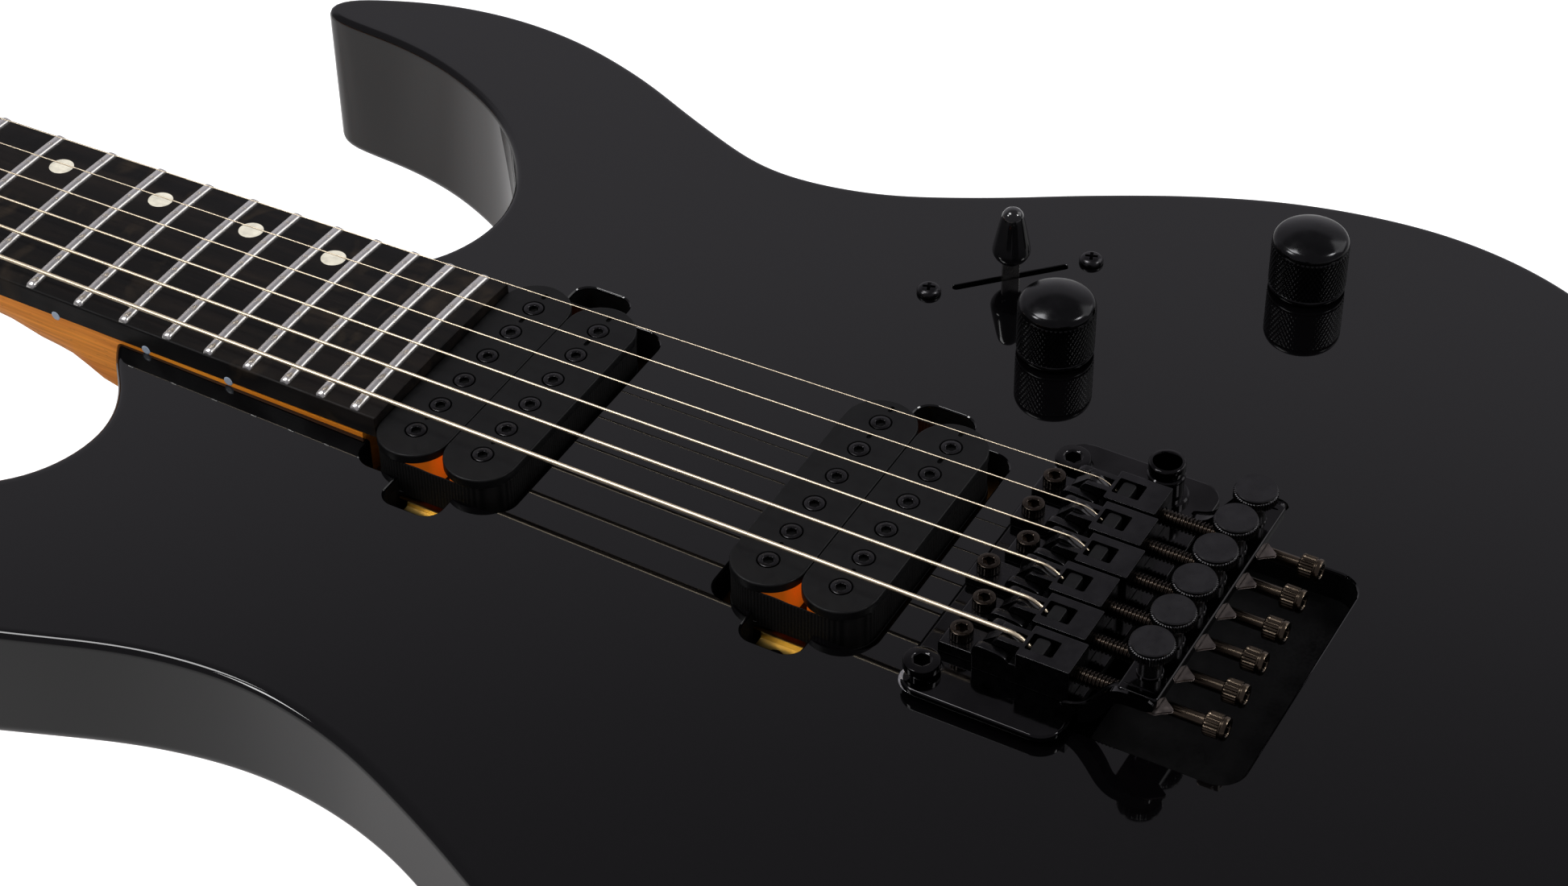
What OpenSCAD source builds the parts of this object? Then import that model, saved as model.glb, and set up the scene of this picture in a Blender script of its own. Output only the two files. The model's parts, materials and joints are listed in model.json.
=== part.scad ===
// Solid-body electric guitar with a 24-fret bolt-on neck, two open-coil
// humbucking pickups and a locking knife-edge tremolo.
// Millimetres. The origin is on the centre line, at the bridge scale line, on
// the back face of the body. +X is the treble side, +Y runs to the headstock
// and +Z comes out of the playing face.

/* [Body] */
// Thickness of the body
body_t = 44; // [43:0.5:46]
// Depth of the pickup routes below the playing face
route_depth = 20; // [18:0.5:21]
// Depth of the recess under the back of the tremolo
recess_depth = 8; // [7:0.5:9]
// Thickness of the back covers
cover_t = 2; // [1.5:0.25:2]

/* [Neck] */
// String length from the nut to the saddles
scale_length = 648; // [640:1:650]
// Number of frets
fret_count = 24; // [22:1:24]
// Width of the fretboard at the nut
nut_w = 43; // [42:0.5:44]
// Width of the fretboard at its body end
board_end_w = 57.2; // [56:0.2:57.6]
// Radius of the fretboard's playing surface
board_radius = 400; // [380:10:430]
// Height of the fretboard along its centre line
board_h = 6.6; // [6.2:0.1:7]
// Height of a fret above the fretboard
fret_h = 1.1; // [0.9:0.1:1.3]
// Width of a fret
fret_w = 2.5; // [2.2:0.1:2.8]
// Backward tilt of the neck in degrees
neck_tilt = 0.6; // [0.5:0.1:0.7]
// Thickness of the maple neck behind the nut
neck_t = 13.5; // [12.5:0.5:14.5]
// Thickness of the headstock
head_t = 14; // [13:0.5:15]

/* [Strings] */
// Distance between neighbouring strings at the saddles
bridge_pitch = 10.76; // [10.6:0.02:10.8]
// Distance between neighbouring strings at the nut
nut_pitch = 7.28; // [7:0.04:7.32]
// Height of the outer strings above the body at the saddles
string_h = 12.4; // [12.2:0.1:12.8]

/* [Tremolo] */
// Thickness of the base plate
plate_t = 1.6; // [1.4:0.1:1.6]
// Distance of each pivot post from the centre line
post_x = 37.2; // [37:0.1:37.4]
// Distance of the pivot posts in front of the scale line
post_y = 10.2; // [10.1:0.1:10.3]
// Diameter of a fine tuner's knurled head
fine_tuner_d = 10; // [9:0.1:10.4]

/* [Controls] */
// Diameter of the knobs
knob_d = 19; // [17:0.5:20]
// Height of the knobs above the body
knob_h = 17.5; // [16:0.5:19]
// Radius of the hole that takes the instrument plug
jack_bore_r = 3.2; // [3.2:0.05:3.3]

/* [Hidden] */
$fn = 48;
top = body_t;           // height of the playing face
eps = 0.02;             // gap left around glued and screwed pieces
fit = 0.05;             // radial clearance of a turning piece

// ---- shared shapes ----

// A slot-ended bar of full length 2 * half, along X
module capsule(half, r) {
  translate([-(half - r), -r]) square([2 * (half - r), 2 * r]);
  translate([-(half - r), 0]) circle(r);
  translate([half - r, 0]) circle(r);
}

// A rectangle between two corners, with rounded corners
module round_rect(low, high, r) {
  translate([low.x + r, low.y]) square([high.x - low.x - 2 * r, high.y - low.y]);
  translate([low.x, low.y + r]) square([high.x - low.x, high.y - low.y - 2 * r]);
  for (x = [low.x + r, high.x - r])
    for (y = [low.y + r, high.y - r])
      translate([x, y]) circle(r);
}

// A flat-sided box that reaches from one corner to the other
module box(low, high) {
  translate(low) cube(high - low);
}

// A straight round bar between two points
module rod(a, b, r) {
  d = b - a;
  translate(a)
    rotate([0, acos(d.z / norm(d)), atan2(d.y, d.x)])
      cylinder(r = r, h = norm(d));
}

// One closed turn of wire
module ring(r_path, r_wire) {
  rotate_extrude() translate([r_path, 0]) circle(r_wire);
}

// A socket-head screw that hangs down from z = 0, the top of its head
module cap_screw(head_r, head_h, shank_r, shank_l, key_r) {
  difference() {
    union() {
      translate([0, 0, -head_h]) cylinder(r = head_r, h = head_h);
      translate([0, 0, -head_h - shank_l]) cylinder(r = shank_r, h = shank_l + eps);
    }
    translate([0, 0, -head_h * 0.6]) cylinder(r = key_r, h = head_h, $fn = 6);
  }
}

// A cross-recess screw with a pan head, standing on z = 0
module pan_screw(head_r, head_h, shank_r, shank_l) {
  difference() {
    union() {
      cylinder(r1 = head_r, r2 = head_r * 0.72, h = head_h);
      translate([0, 0, -shank_l]) cylinder(r = shank_r, h = shank_l + eps);
    }
    for (a = [0, 90])
      rotate(a)
        box([-head_r * 0.5, -0.4, head_h * 0.45], [head_r * 0.5, 0.4, head_h + 1]);
  }
}

// A countersunk screw whose head is flush with z = 0
module flush_screw(head_r, shank_r, length) {
  difference() {
    union() {
      translate([0, 0, -(head_r - shank_r)])
        cylinder(r1 = shank_r, r2 = head_r, h = head_r - shank_r);
      translate([0, 0, -length]) cylinder(r = shank_r, h = length - head_r + shank_r + eps);
    }
    for (a = [0, 90])
      rotate(a) box([-head_r * 0.5, -0.4, -1], [head_r * 0.5, 0.4, 1]);
  }
}

// Clearance hole for a flush_screw
module flush_hole(head_r, shank_r, length) {
  translate([0, 0, -(head_r - shank_r)])
    cylinder(r1 = shank_r + eps, r2 = head_r + eps, h = head_r - shank_r);
  translate([0, 0, -length - eps]) cylinder(r = shank_r + eps, h = length);
  translate([0, 0, -eps]) cylinder(r = head_r + eps, h = 1);
}

// ---- smooth closed outlines ----

// Slope of the curve at point i, from its two neighbours
function slope(p, i) =
  let (n = len(p), a = p[(i + n - 1) % n], b = p[i % n], c = p[(i + 1) % n])
  let (u = norm(b - a), v = norm(c - b))
  ((b - a) / u * v + (c - b) / v * u) / (u + v);

// A point on the cubic between two points with the given slopes
function cubic(a, b, slope_a, slope_b, t) =
  let (d = norm(b - a))
  (2 * t * t * t - 3 * t * t + 1) * a + (t * t * t - 2 * t * t + t) * d * slope_a
  + (3 * t * t - 2 * t * t * t) * b + (t * t * t - t * t) * d * slope_b;

// The closed curve through all points, with a few steps between each pair
function smooth_loop(p, steps) = [
  for (i = [0 : len(p) - 1])
    for (k = [0 : steps - 1])
      cubic(p[i], p[(i + 1) % len(p)], slope(p, i), slope(p, i + 1), k / steps)
];

// ---- body ----

tail_y = -132.5;
horn_y = 333;
outline_points = [
  [0, -133], [38, -131.5], [72, -125.5], [104, -114], [131, -97], [150, -77],
  [160, -54], [163.2, -31], [161.8, -13], [157, 8], [148.5, 29.5], [136.5, 52.5],
  [122.5, 76.5], [111, 102], [108, 128], [116.3, 153], [127, 178], [133.6, 203],
  [134.4, 224], [131, 243], [125, 258.5], [120, 267.5], [115.5, 270.5], [112, 268],
  [110.4, 259], [109.4, 245], [106.6, 230], [102, 217], [95.6, 204.5], [87, 193.5],
  [77, 185.2], [66.5, 179.5], [55, 177.5], [44.5, 179.3], [35, 184],
  [22, 205], [6, 226], [-14, 236], [-30.2, 230.5],
  [-40.7, 221], [-53, 215.6], [-66.6, 216.8], [-76.5, 222], [-85, 232],
  [-93, 248], [-99, 268], [-104, 296], [-108, 320], [-112.5, 331.5],
  [-119.5, 332], [-125.5, 318], [-131.5, 296], [-135, 270], [-134, 245],
  [-128.5, 216], [-119, 187], [-111, 163], [-108, 138], [-112, 112],
  [-121, 88], [-133.6, 61.5], [-147, 36], [-158.5, 8], [-163, -22], [-160, -52],
  [-149, -79], [-130, -100], [-104, -116], [-72, -126.5], [-38, -131.8]
];
outline_steps = 3;

pickup_y = [44.7, 137.9];
pickup_top = [top + 6.7, top + 5.3];
pole_pitch = [10.5, 10.1];
ear_screw_x = 40.5;
bobbin_row = 9.05;
cavity_z = 16;                 // ceiling of the spring cavity
control_ceiling = top - 6;     // ceiling of the control cavity
spring_low = [-38, -36];
spring_high = [38, 126];
cover_margin = 6;
volume_at = [76.2, 33.4];
tone_at = [127.2, -9.4];
selector_at = [96.3, 55.1];
selector_angle = -45;
selector_screw_x = 20.8;
jack_at = [147.6, -80];
jack_angle = -40;
jack_back_x = -24;
wire_z = top - 13.5;           // height of the drillings for the wires

// The elbow bevel: the top rolls away towards the bass side of the tail
module forearm_bevel() {
  bevel_r = 180;
  rotate(208.6)
    translate([92, 0, top])
      difference() {
        box([0, -320, -60], [150, 320, 10]);
        translate([0, 0, -bevel_r])
          rotate([90, 0, 0]) cylinder(r = bevel_r, h = 700, center = true, $fn = 180);
      }
}

// The scoop behind the bass-side waist
module belly_scoop() {
  scoop_r = 900;
  intersection() {
    translate([-55, 75, 0])
      rotate([0, 17.1, 0])
        translate([0, 0, -scoop_r])
          rotate([0, 90, 0]) cylinder(r = scoop_r, h = 320, center = true, $fn = 360);
    translate([-60, 80, 0])
      rotate([0, 0, 40.6])
        rotate([25, 0, 0]) box([-300, -100, -100], [300, 500, 0]);
  }
}

// Plan of a pickup route and its two mounting-ear pockets
module pickup_route_plan(y_low, y_high, y_ear) {
  round_rect([-36, y_low], [36, y_high], 5);
  round_rect([-44.5, y_ear - 7.5], [44.5, y_ear + 7.5], 4);
}

module pickup_routes() {
  floor_z = top - route_depth;
  translate([0, 0, floor_z]) linear_extrude(route_depth + 1) {
    pickup_route_plan(23.8, 64.4, pickup_y[0]);
    pickup_route_plan(116.5, 158, pickup_y[1]);
  }
  box([-28, 150, floor_z], [28, 162, top + 1]);
}

// Plan of the electronics cavity; grow widens it for the cover's recess
module control_plan(grow) {
  span = tone_at - volume_at;
  translate((volume_at + tone_at) / 2)
    rotate(atan2(span.y, span.x)) capsule(norm(span) / 2 + 16 + grow, 16 + grow);
  translate([120, -30]) rotate(-76) capsule(33 + grow, 13 + grow);
  translate(selector_at)
    rotate(selector_angle) round_rect([-26 - grow, -13 - grow], [26 + grow, 13 + grow], 5);
}

module spring_plan(grow) {
  round_rect(spring_low - [grow, grow], spring_high + [grow, grow], 6);
}

module tremolo_route() {
  translate([0, 0, top - recess_depth])
    linear_extrude(recess_depth + 1) round_rect([-35.5, -61.5], [36, -2], 6);
  box([-35.5, -26, cavity_z - 1], [36, -2, top + 1]);
  box([-29.5, -3, cavity_z - 1], [29.5, 15, top + 1]);
}

// The slot and hole that the selector and the knobs' shafts pass through
module control_holes() {
  translate([selector_at.x, selector_at.y, top - 8])
    rotate(selector_angle) linear_extrude(10) capsule(14.75, 0.9);
  for (side = [-1, 1])
    translate([selector_at.x, selector_at.y, top - 8])
      rotate(selector_angle) translate([side * selector_screw_x, 0, 0]) cylinder(r = 1.6, h = 10);
  for (at = [volume_at, tone_at])
    translate([at.x, at.y, top - 8]) cylinder(r = 4.05, h = 10);
}

// The jack's own frame: +X leaves the side of the body
module jack_frame() {
  translate([jack_at.x, jack_at.y, top / 2]) rotate(jack_angle) children();
}

module jack_hole() {
  jack_frame() {
    rotate([0, 90, 0]) cylinder(r = 11, h = 30);
    translate([jack_back_x - 20, 0, 0]) rotate([0, 90, 0]) cylinder(r = 7.05, h = 60);
  }
}

neck_screws = [[-18, 177], [16, 174], [-19, 214], [6, 205]];
spring_screws = [[-41.3, -30], [41.3, -30], [-41.3, 45], [41.3, 45], [-41.3, 120], [41.3, 120]];
control_screws = [[60, 43], [125, 46], [145.5, -4], [122, -65], [101, -18]];
claw_screw_x = 17;
claw_y = 104;

module screw_holes() {
  for (at = neck_screws) {
    translate([at.x, at.y, -1]) cylinder(r = 7.55, h = 4.5);
    translate([at.x, at.y, -1]) cylinder(r = 2.3, h = 40);
  }
  for (at = concat(spring_screws, control_screws))
    translate([at.x, at.y, 0]) cylinder(r = 1.25, h = 12);
  for (x = [-claw_screw_x, claw_screw_x])
    translate([x, spring_high.y - 1, 9]) rotate([-90, 0, 0]) cylinder(r = 2.02, h = 22);
  for (y = pickup_y)
    for (x = [-ear_screw_x, ear_screw_x])
      translate([x, y, top - route_depth - 6]) cylinder(r = 1.3, h = 7);
  translate([0, tail_y, top / 2]) rotate([-90, 0, 0]) cylinder(r = 1.82, h = 26);
  translate([-116, horn_y, top / 2]) rotate([90, 0, 0]) cylinder(r = 1.82, h = 26);
}

module body() {
  color("#1c1b1d")
    difference() {
      linear_extrude(body_t) polygon(smooth_loop(outline_points, outline_steps));
      box([-60, tail_y - 20, -1], [60, tail_y, top + 1]);
      box([-160, horn_y, -1], [-80, horn_y + 20, top + 1]);
      forearm_bevel();
      belly_scoop();
      pickup_routes();
      tremolo_route();
      neck_frame() neck_pocket();
      translate([0, 0, -1]) linear_extrude(cavity_z + 1) spring_plan(0);
      translate([0, 0, -1]) linear_extrude(1 + cover_t) spring_plan(cover_margin);
      translate([0, 0, -1]) linear_extrude(control_ceiling + 1) control_plan(0);
      translate([0, 0, -1]) linear_extrude(1 + cover_t) control_plan(cover_margin);
      control_holes();
      jack_hole();
      screw_holes();
      for (side = [-1, 1])
        translate([side * post_x, post_y, top - 24]) cylinder(r = 5.02, h = 30);
      translate([20, pickup_y[0], wire_z]) rotate([0, 90, 0]) cylinder(r = 3, h = 60);
      translate([0, 60, wire_z]) rotate([-90, 0, 0]) cylinder(r = 3, h = 60);
    }
}

// ---- neck ----

neck_y = 156;                          // body end of the fretboard
neck_z = top + 1.73;                   // underside of the fretboard there
board_l = scale_length - neck_y;
heel_start = 4;
heel_end = 78;
heel_t = 17.7;
shaft_start = 116;
section_steps = 20;

// The neck's own frame: origin at the body end of the fretboard's underside
module neck_frame() {
  translate([0, neck_y, neck_z]) rotate([-neck_tilt, 0, 0]) children();
}

// A point of the neck's frame, in the guitar's frame
function from_neck(p) = [
  p.x,
  neck_y + p.y * cos(neck_tilt) + p.z * sin(neck_tilt),
  neck_z - p.y * sin(neck_tilt) + p.z * cos(neck_tilt)
];

function board_half(y) = board_end_w / 2 - (board_end_w - nut_w) / 2 * y / board_l;
function board_top(x) = board_h - board_radius + sqrt(board_radius * board_radius - x * x);
function fret_y(n) = scale_length * pow(2, -n / 12) - neck_y;

// Plan of the board between two distances, widened by grow on each side
module board_plan(y0, y1, grow = 0) {
  polygon([
    [-board_half(y0) - grow, y0], [board_half(y0) + grow, y0],
    [board_half(y1) + grow, y1], [-board_half(y1) - grow, y1]
  ]);
}

// Outline of the neck's rounded back at distance y, as points from the bass
// edge round to the treble edge; square sharpens its corners
function neck_section(y, half, t, square) = [
  for (i = [0 : section_steps])
    let (a = 180 + i * 180 / section_steps)
    [half * sign(cos(a)) * pow(abs(cos(a)), square), y, -t * pow(abs(sin(a)), square)]
];

// A closed skin through sections that all have the same number of points
module loft(sections) {
  n = len(sections[0]);
  count = len(sections);
  polyhedron(
    points = [for (section = sections) for (p = section) p],
    faces = concat(
      [[for (i = [n - 1 : -1 : 0]) i]],
      [[for (i = [0 : n - 1]) (count - 1) * n + i]],
      [for (k = [0 : count - 2])
        for (i = [0 : n - 1])
          let (j = (i + 1) % n)
          [k * n + i, k * n + j, (k + 1) * n + i]],
      [for (k = [0 : count - 2])
        for (i = [0 : n - 1])
          let (j = (i + 1) % n)
          [(k + 1) * n + i, k * n + j, (k + 1) * n + j]]
    )
  );
}

module neck_pocket() {
  translate([0, 0, -heel_t]) linear_extrude(heel_t + 8) board_plan(heel_start - 3, 130, eps);
}

head_points = [
  [21.6, 507], [23.5, 520], [28.5, 540], [33, 566], [35.5, 600], [36.5, 640],
  [35.5, 676], [30.5, 696], [19, 705], [6, 700], [-1.5, 684], [-8, 660],
  [-17.5, 628], [-26, 597], [-32.8, 572], [-35.5, 555], [-33, 541], [-26.5, 523], [-21.6, 507]
];
post_r = 3;
post_first = [-21.9, 560];
post_step = [nut_pitch, 24.5];
post_line = atan2(post_step.x, post_step.y);   // slant of the row of posts
worm_offset = 8;

function post_at(i) = post_first + i * post_step;

// A tuner's frame: X across the row of posts, Z up the post
module tuner_frame(i) {
  neck_frame() translate([post_at(i).x, post_at(i).y, 0]) rotate(-post_line) children();
}

module neck() {
  color("#c98a3c")
    difference() {
      neck_frame() union() {
        translate([0, 0, -heel_t]) linear_extrude(heel_t) board_plan(heel_start, heel_end);
        loft([
          neck_section(heel_end - 0.5, board_half(heel_end) - 0.1, heel_t - 0.1, 0.25),
          neck_section((heel_end + shaft_start) / 2, board_half(heel_end + 18), neck_t + 2.8, 0.5),
          neck_section(shaft_start, board_half(shaft_start), neck_t + 1.6, 0.75),
          neck_section(board_l + 1, board_half(board_l) - 0.01, neck_t, 0.75),
          neck_section(board_l + 24, 21, head_t - 0.1, 0.3)
        ]);
        translate([0, 0, -head_t]) linear_extrude(head_t) polygon(smooth_loop(head_points, 3));
      }
      neck_frame() {
        box([-3.15, 12, -9.6], [3.15, board_l + 26, 1]);
        for (i = [0 : 5])
          translate([post_at(i).x, post_at(i).y, -head_t - 1]) cylinder(r = 5.02, h = head_t + 2);
        for (at = retainer_screws) translate([at.x, at.y, -9]) cylinder(r = 1.52, h = 10);
        for (at = truss_screws) translate([at.x, at.y, -6]) cylinder(r = 1.02, h = 7);
        side_dot_holes();
      }
      for (at = neck_screws) translate([at.x, at.y, 20]) cylinder(r = 2.1, h = 19.6);
    }
}

module fretboard() {
  color("#2b2320")
    neck_frame()
      difference() {
        intersection() {
          linear_extrude(board_h + 1) board_plan(0, board_l);
          crown_bar(0);
        }
        for (at = face_dots)
          dot_frame(at) cylinder(r = dot_r + eps, h = dot_depth + 2);
        side_dot_holes();
      }
}

// The round bar whose surface is the fretboard's, raised by h
module crown_bar(h) {
  translate([0, -10, board_h - board_radius])
    rotate([-90, 0, 0]) cylinder(r = board_radius + h, h = board_l + 20, $fn = 720);
}

module frets() {
  color("#c8c6c0")
    neck_frame()
      intersection() {
        for (n = [1 : fret_count])
          translate([0, 0, 3])
            linear_extrude(8)
              board_plan(fret_y(n) - fret_w / 2, fret_y(n) + fret_w / 2, -0.4);
        difference() {
          crown_bar(fret_h);
          crown_bar(0);
        }
      }
}

dot_r = 3.15;
dot_depth = 2.4;
side_dot_r = 1.25;
dot_frets = [3, 5, 7, 9, 12, 15, 17, 19, 21];
dot_x = 16.5;
function between(n) = (fret_y(n) + fret_y(n - 1)) / 2;
function dot_side(n) = dot_x * board_half(between(n)) / board_half(between(21));
face_dots = concat(
  [for (n = dot_frets) [dot_side(n), between(n)]],
  [[dot_side(12) - 10, between(12)]]
);

// The frame of a face dot: origin at the bottom of its hole, square to the board
module dot_frame(at) {
  translate([0, at.y, board_h - board_radius])
    rotate([0, asin(at.x / board_radius), 0])
      translate([0, 0, board_radius - dot_depth]) children();
}

module side_dot_holes() {
  for (n = dot_frets)
    translate([-board_half(between(n)) + 1.5, between(n), 0])
      rotate([0, -90, 0]) cylinder(r = side_dot_r + eps, h = 4);
}

module inlay_dots() {
  color("#dcd6c6")
    neck_frame() {
      for (at = face_dots)
        dot_frame(at) cylinder(r = dot_r, h = dot_depth - 0.01);
      for (n = dot_frets)
        translate([-board_half(between(n)) + 1.4, between(n), 0])
          rotate([0, -90, 0]) cylinder(r = side_dot_r, h = 1.4);
    }
}

module truss_rod() {
  color("#8c8c90")
    neck_frame() {
      box([-3, 14, -9.4], [3, board_l + 10, -5.2]);
      box([-3, 14, -5.1], [3, board_l + 10, -0.3]);
      translate([0, board_l + 10, -4.8]) rotate([-90, 0, 0]) cap_socket(2.9, 12);
    }
}

// The rod's adjusting nut, with a hexagonal key hole
module cap_socket(r, length) {
  difference() {
    cylinder(r = r, h = length);
    translate([0, 0, length - 6]) cylinder(r = r * 0.7, h = 7, $fn = 6);
  }
}

truss_screws = [[-7, board_l + 20], [0, board_l + 36], [7, board_l + 20]];
module truss_rod_cover() {
  color("#17171a")
    neck_frame()
      difference() {
        linear_extrude(1.6) {
          round_rect([-10.5, board_l + 16.6], [10.5, board_l + 27], 2);
          polygon([[-10.5, board_l + 24], [10.5, board_l + 24], [4, board_l + 37], [-4, board_l + 37]]);
          translate([0, board_l + 36]) circle(4);
        }
        for (at = truss_screws)
          translate([at.x, at.y, 1.6]) flush_hole(1.9, 1, 4);
      }
}

// ---- strings ----

gauges = [1.17, 0.91, 0.66, 0.43, 0.33, 0.25];
saddle_shift = [-5, -3.6, -2.2, -3.2, -1.4, 0];
function gauge_r(i) = gauges[i] / 2;
function bridge_x(i) = (i - 2.5) * bridge_pitch;
function nut_x(i) = (i - 2.5) * nut_pitch;
function bridge_z(i) = top + string_h + 1 - pow(bridge_x(i) / bridge_x(5), 2);
function nut_z(i) = board_top(nut_x(i)) + fret_h + 0.5 + gauge_r(i);
function saddle_point(i) = [bridge_x(i), saddle_shift[i], bridge_z(i)];

nut_l = 16;
nut_base_h = 9.6;
bar_y = board_l + 44;
bar_r = 2.5;
bar_z = 8.2;
wrap_z = 8.5;
wrap_turns = 2.6;
wrap_steps = 16;
wrap_pitch = 2.5;                      // fall of each turn, in string radii
wire_sides = 8;

// Centre line of a string: clamp, saddle, nut, retainer bar, then its post
function string_path(i) =
  let (
    r = gauge_r(i),
    post = post_at(i),
    wind = nut_x(i) - post.x,
    last = floor(wrap_turns * wrap_steps)
  )
  concat(
    [
      [bridge_x(i), saddle_shift[i] - 4.6, bridge_z(i) - 1.6],
      saddle_point(i),
      from_neck([nut_x(i), board_l, nut_z(i)]),
      from_neck([nut_x(i), board_l + nut_l, nut_z(i)]),
      from_neck([nut_x(i), bar_y, bar_z - bar_r - r - 0.05])
    ],
    [
      for (k = [0 : last])
        let (a = 360 * k / wrap_steps)
        from_neck([
          post.x + wind * cos(a), post.y + wind * sin(a),
          wrap_z - k / wrap_steps * wrap_pitch * r
        ])
    ]
  );

// A tube of radius r along a path that never runs straight up
module wire(path, r) {
  count = len(path);
  loft([
    for (k = [0 : count - 1])
      let (
        ahead = path[min(k + 1, count - 1)] - path[max(k - 1, 0)],
        side = cross(ahead, [0, 0, 1]) / norm(cross(ahead, [0, 0, 1])),
        up = cross(side, ahead) / norm(ahead)
      )
      [for (i = [0 : wire_sides - 1])
        let (a = -360 * i / wire_sides)
        path[k] + r * (cos(a) * side + sin(a) * up)]
  ]);
}

module string(i) {
  wire(string_path(i), gauge_r(i));
}

module strings_wound() {
  color("#c9c4b8") for (i = [0 : 2]) string(i);
}

module strings_plain() {
  color("#dcdcdc") for (i = [3 : 5]) string(i);
}

nut_bolts = [for (k = [-1, 0, 1]) [k * 2 * nut_pitch, board_l + nut_l / 2]];

module nut_base() {
  color("#1a1a1c")
    neck_frame()
      difference() {
        box([-nut_w / 2, board_l + eps, 0], [nut_w / 2, board_l + nut_l, nut_base_h]);
        for (i = [0 : 5])
          box([nut_x(i) - gauge_r(i) - 0.1, board_l - 1, nut_z(i) - gauge_r(i) - 0.04],
              [nut_x(i) + gauge_r(i) + 0.1, board_l + nut_l + 1, nut_base_h + 1]);
        for (at = nut_bolts)
          translate([at.x, at.y, -1]) cylinder(r = 1.75, h = nut_base_h + 2);
      }
}

module nut_clamps() {
  clamp_h = 4.4;
  color("#1d1d20")
    neck_frame()
      for (at = nut_bolts)
        difference() {
          translate([at.x, at.y - 6, nut_base_h])
            linear_extrude(clamp_h) round_rect([-6.6, 0], [6.6, 12.5], 1.2);
          translate([at.x, at.y, nut_base_h - 1]) cylinder(r = 1.75, h = clamp_h + 2);
          translate([at.x, at.y, nut_base_h + 1.6]) cylinder(r = 3.1, h = clamp_h);
        }
}

module nut_screws() {
  color("#3a3a3e")
    neck_frame()
      for (at = nut_bolts)
        translate([at.x, at.y, nut_base_h + 4.6]) cap_screw(3, 3, 1.7, 10.5, 1.6);
}

retainer_screws = [[nut_x(0) - 5, bar_y], [nut_x(5) + 5, bar_y]];
module string_retainer() {
  color("#1a1a1c")
    neck_frame()
      difference() {
        translate([nut_x(0) - 8, bar_y, bar_z])
          rotate([0, 90, 0]) cylinder(r = bar_r, h = 2 * nut_x(5) + 16);
        for (at = retainer_screws) translate([at.x, at.y, 0]) cylinder(r = 1.6, h = 20);
      }
}

// ---- machine heads ----

housing_low = -head_t - 10;
gear_r = 5;
worm_r = 2.7;
worm_z = -head_t - 5;

module tuner_housing() {
  difference() {
    box([-7.5, -12, housing_low], [7.5, 9.5, -head_t]);
    translate([0, 0, housing_low + 2.2]) cylinder(r = gear_r + 0.2, h = 5.6);
    translate([0, 0, housing_low + 2.2]) cylinder(r = post_r + fit, h = 12);
    translate([-6, -worm_offset, worm_z]) rotate([0, 90, 0]) cylinder(r = worm_r + 0.2, h = 12);
    translate([-9, -worm_offset, worm_z]) rotate([0, 90, 0]) cylinder(r = 2 + fit, h = 6);
  }
}

module tuner_housings() {
  color("#1b1b1e") for (i = [0 : 5]) tuner_frame(i) tuner_housing();
}

module tuner_bushings() {
  color("#222226")
    for (i = [0 : 5])
      tuner_frame(i)
        difference() {
          union() {
            translate([0, 0, -head_t]) cylinder(r = 5, h = head_t);
            cylinder(r = 7, h = 1);
            translate([0, 0, 1]) cylinder(r = 5.6, h = 1.8, $fn = 6);
          }
          translate([0, 0, -head_t - 1]) cylinder(r = post_r + fit, h = head_t + 5);
        }
}

module tuner_post(i) {
  color("#2a2a2e")
    tuner_frame(i)
      difference() {
        union() {
          translate([0, 0, housing_low + 2.4]) cylinder(r = gear_r, h = 5.2);
          translate([0, 0, housing_low + 2.4]) cylinder(r = post_r, h = 21.6 + 12);
        }
        translate([-5, 0, 9.8]) rotate([0, 90, 0]) cylinder(r = 0.8, h = 10);
      }
}

module tuner_button(i) {
  color("#1b1b1e")
    tuner_frame(i)
      translate([0, -worm_offset, worm_z]) {
        translate([-5.8, 0, 0]) rotate([0, 90, 0]) cylinder(r = worm_r, h = 11.6);
        translate([-18, 0, 0]) rotate([0, 90, 0]) cylinder(r = 2, h = 14);
        translate([-18.5, 0, 0]) rotate([0, 90, 0]) cylinder(r = 3.4, h = 2.5);
        intersection() {
          translate([-26.5, 0, 0]) rotate([90, 0, 0]) cylinder(r = 9, h = 6.6, center = true);
          translate([-26.5, 0, 0]) sphere(r = 9.4);
          translate([-26.5, 0, 0]) cube([16.4, 20, 17], center = true);
        }
      }
}

// ---- screws, ferrules, covers, strap buttons, jack ----

module neck_ferrules() {
  color("#26262a")
    for (at = neck_screws)
      translate([at.x, at.y, 0.4])
        difference() {
          cylinder(r = 7.5, h = 3.1);
          translate([0, 0, -0.1]) cylinder(r1 = 4.6, r2 = 2.4, h = 2.3);
          cylinder(r = 2.35, h = 4);
        }
}

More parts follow.
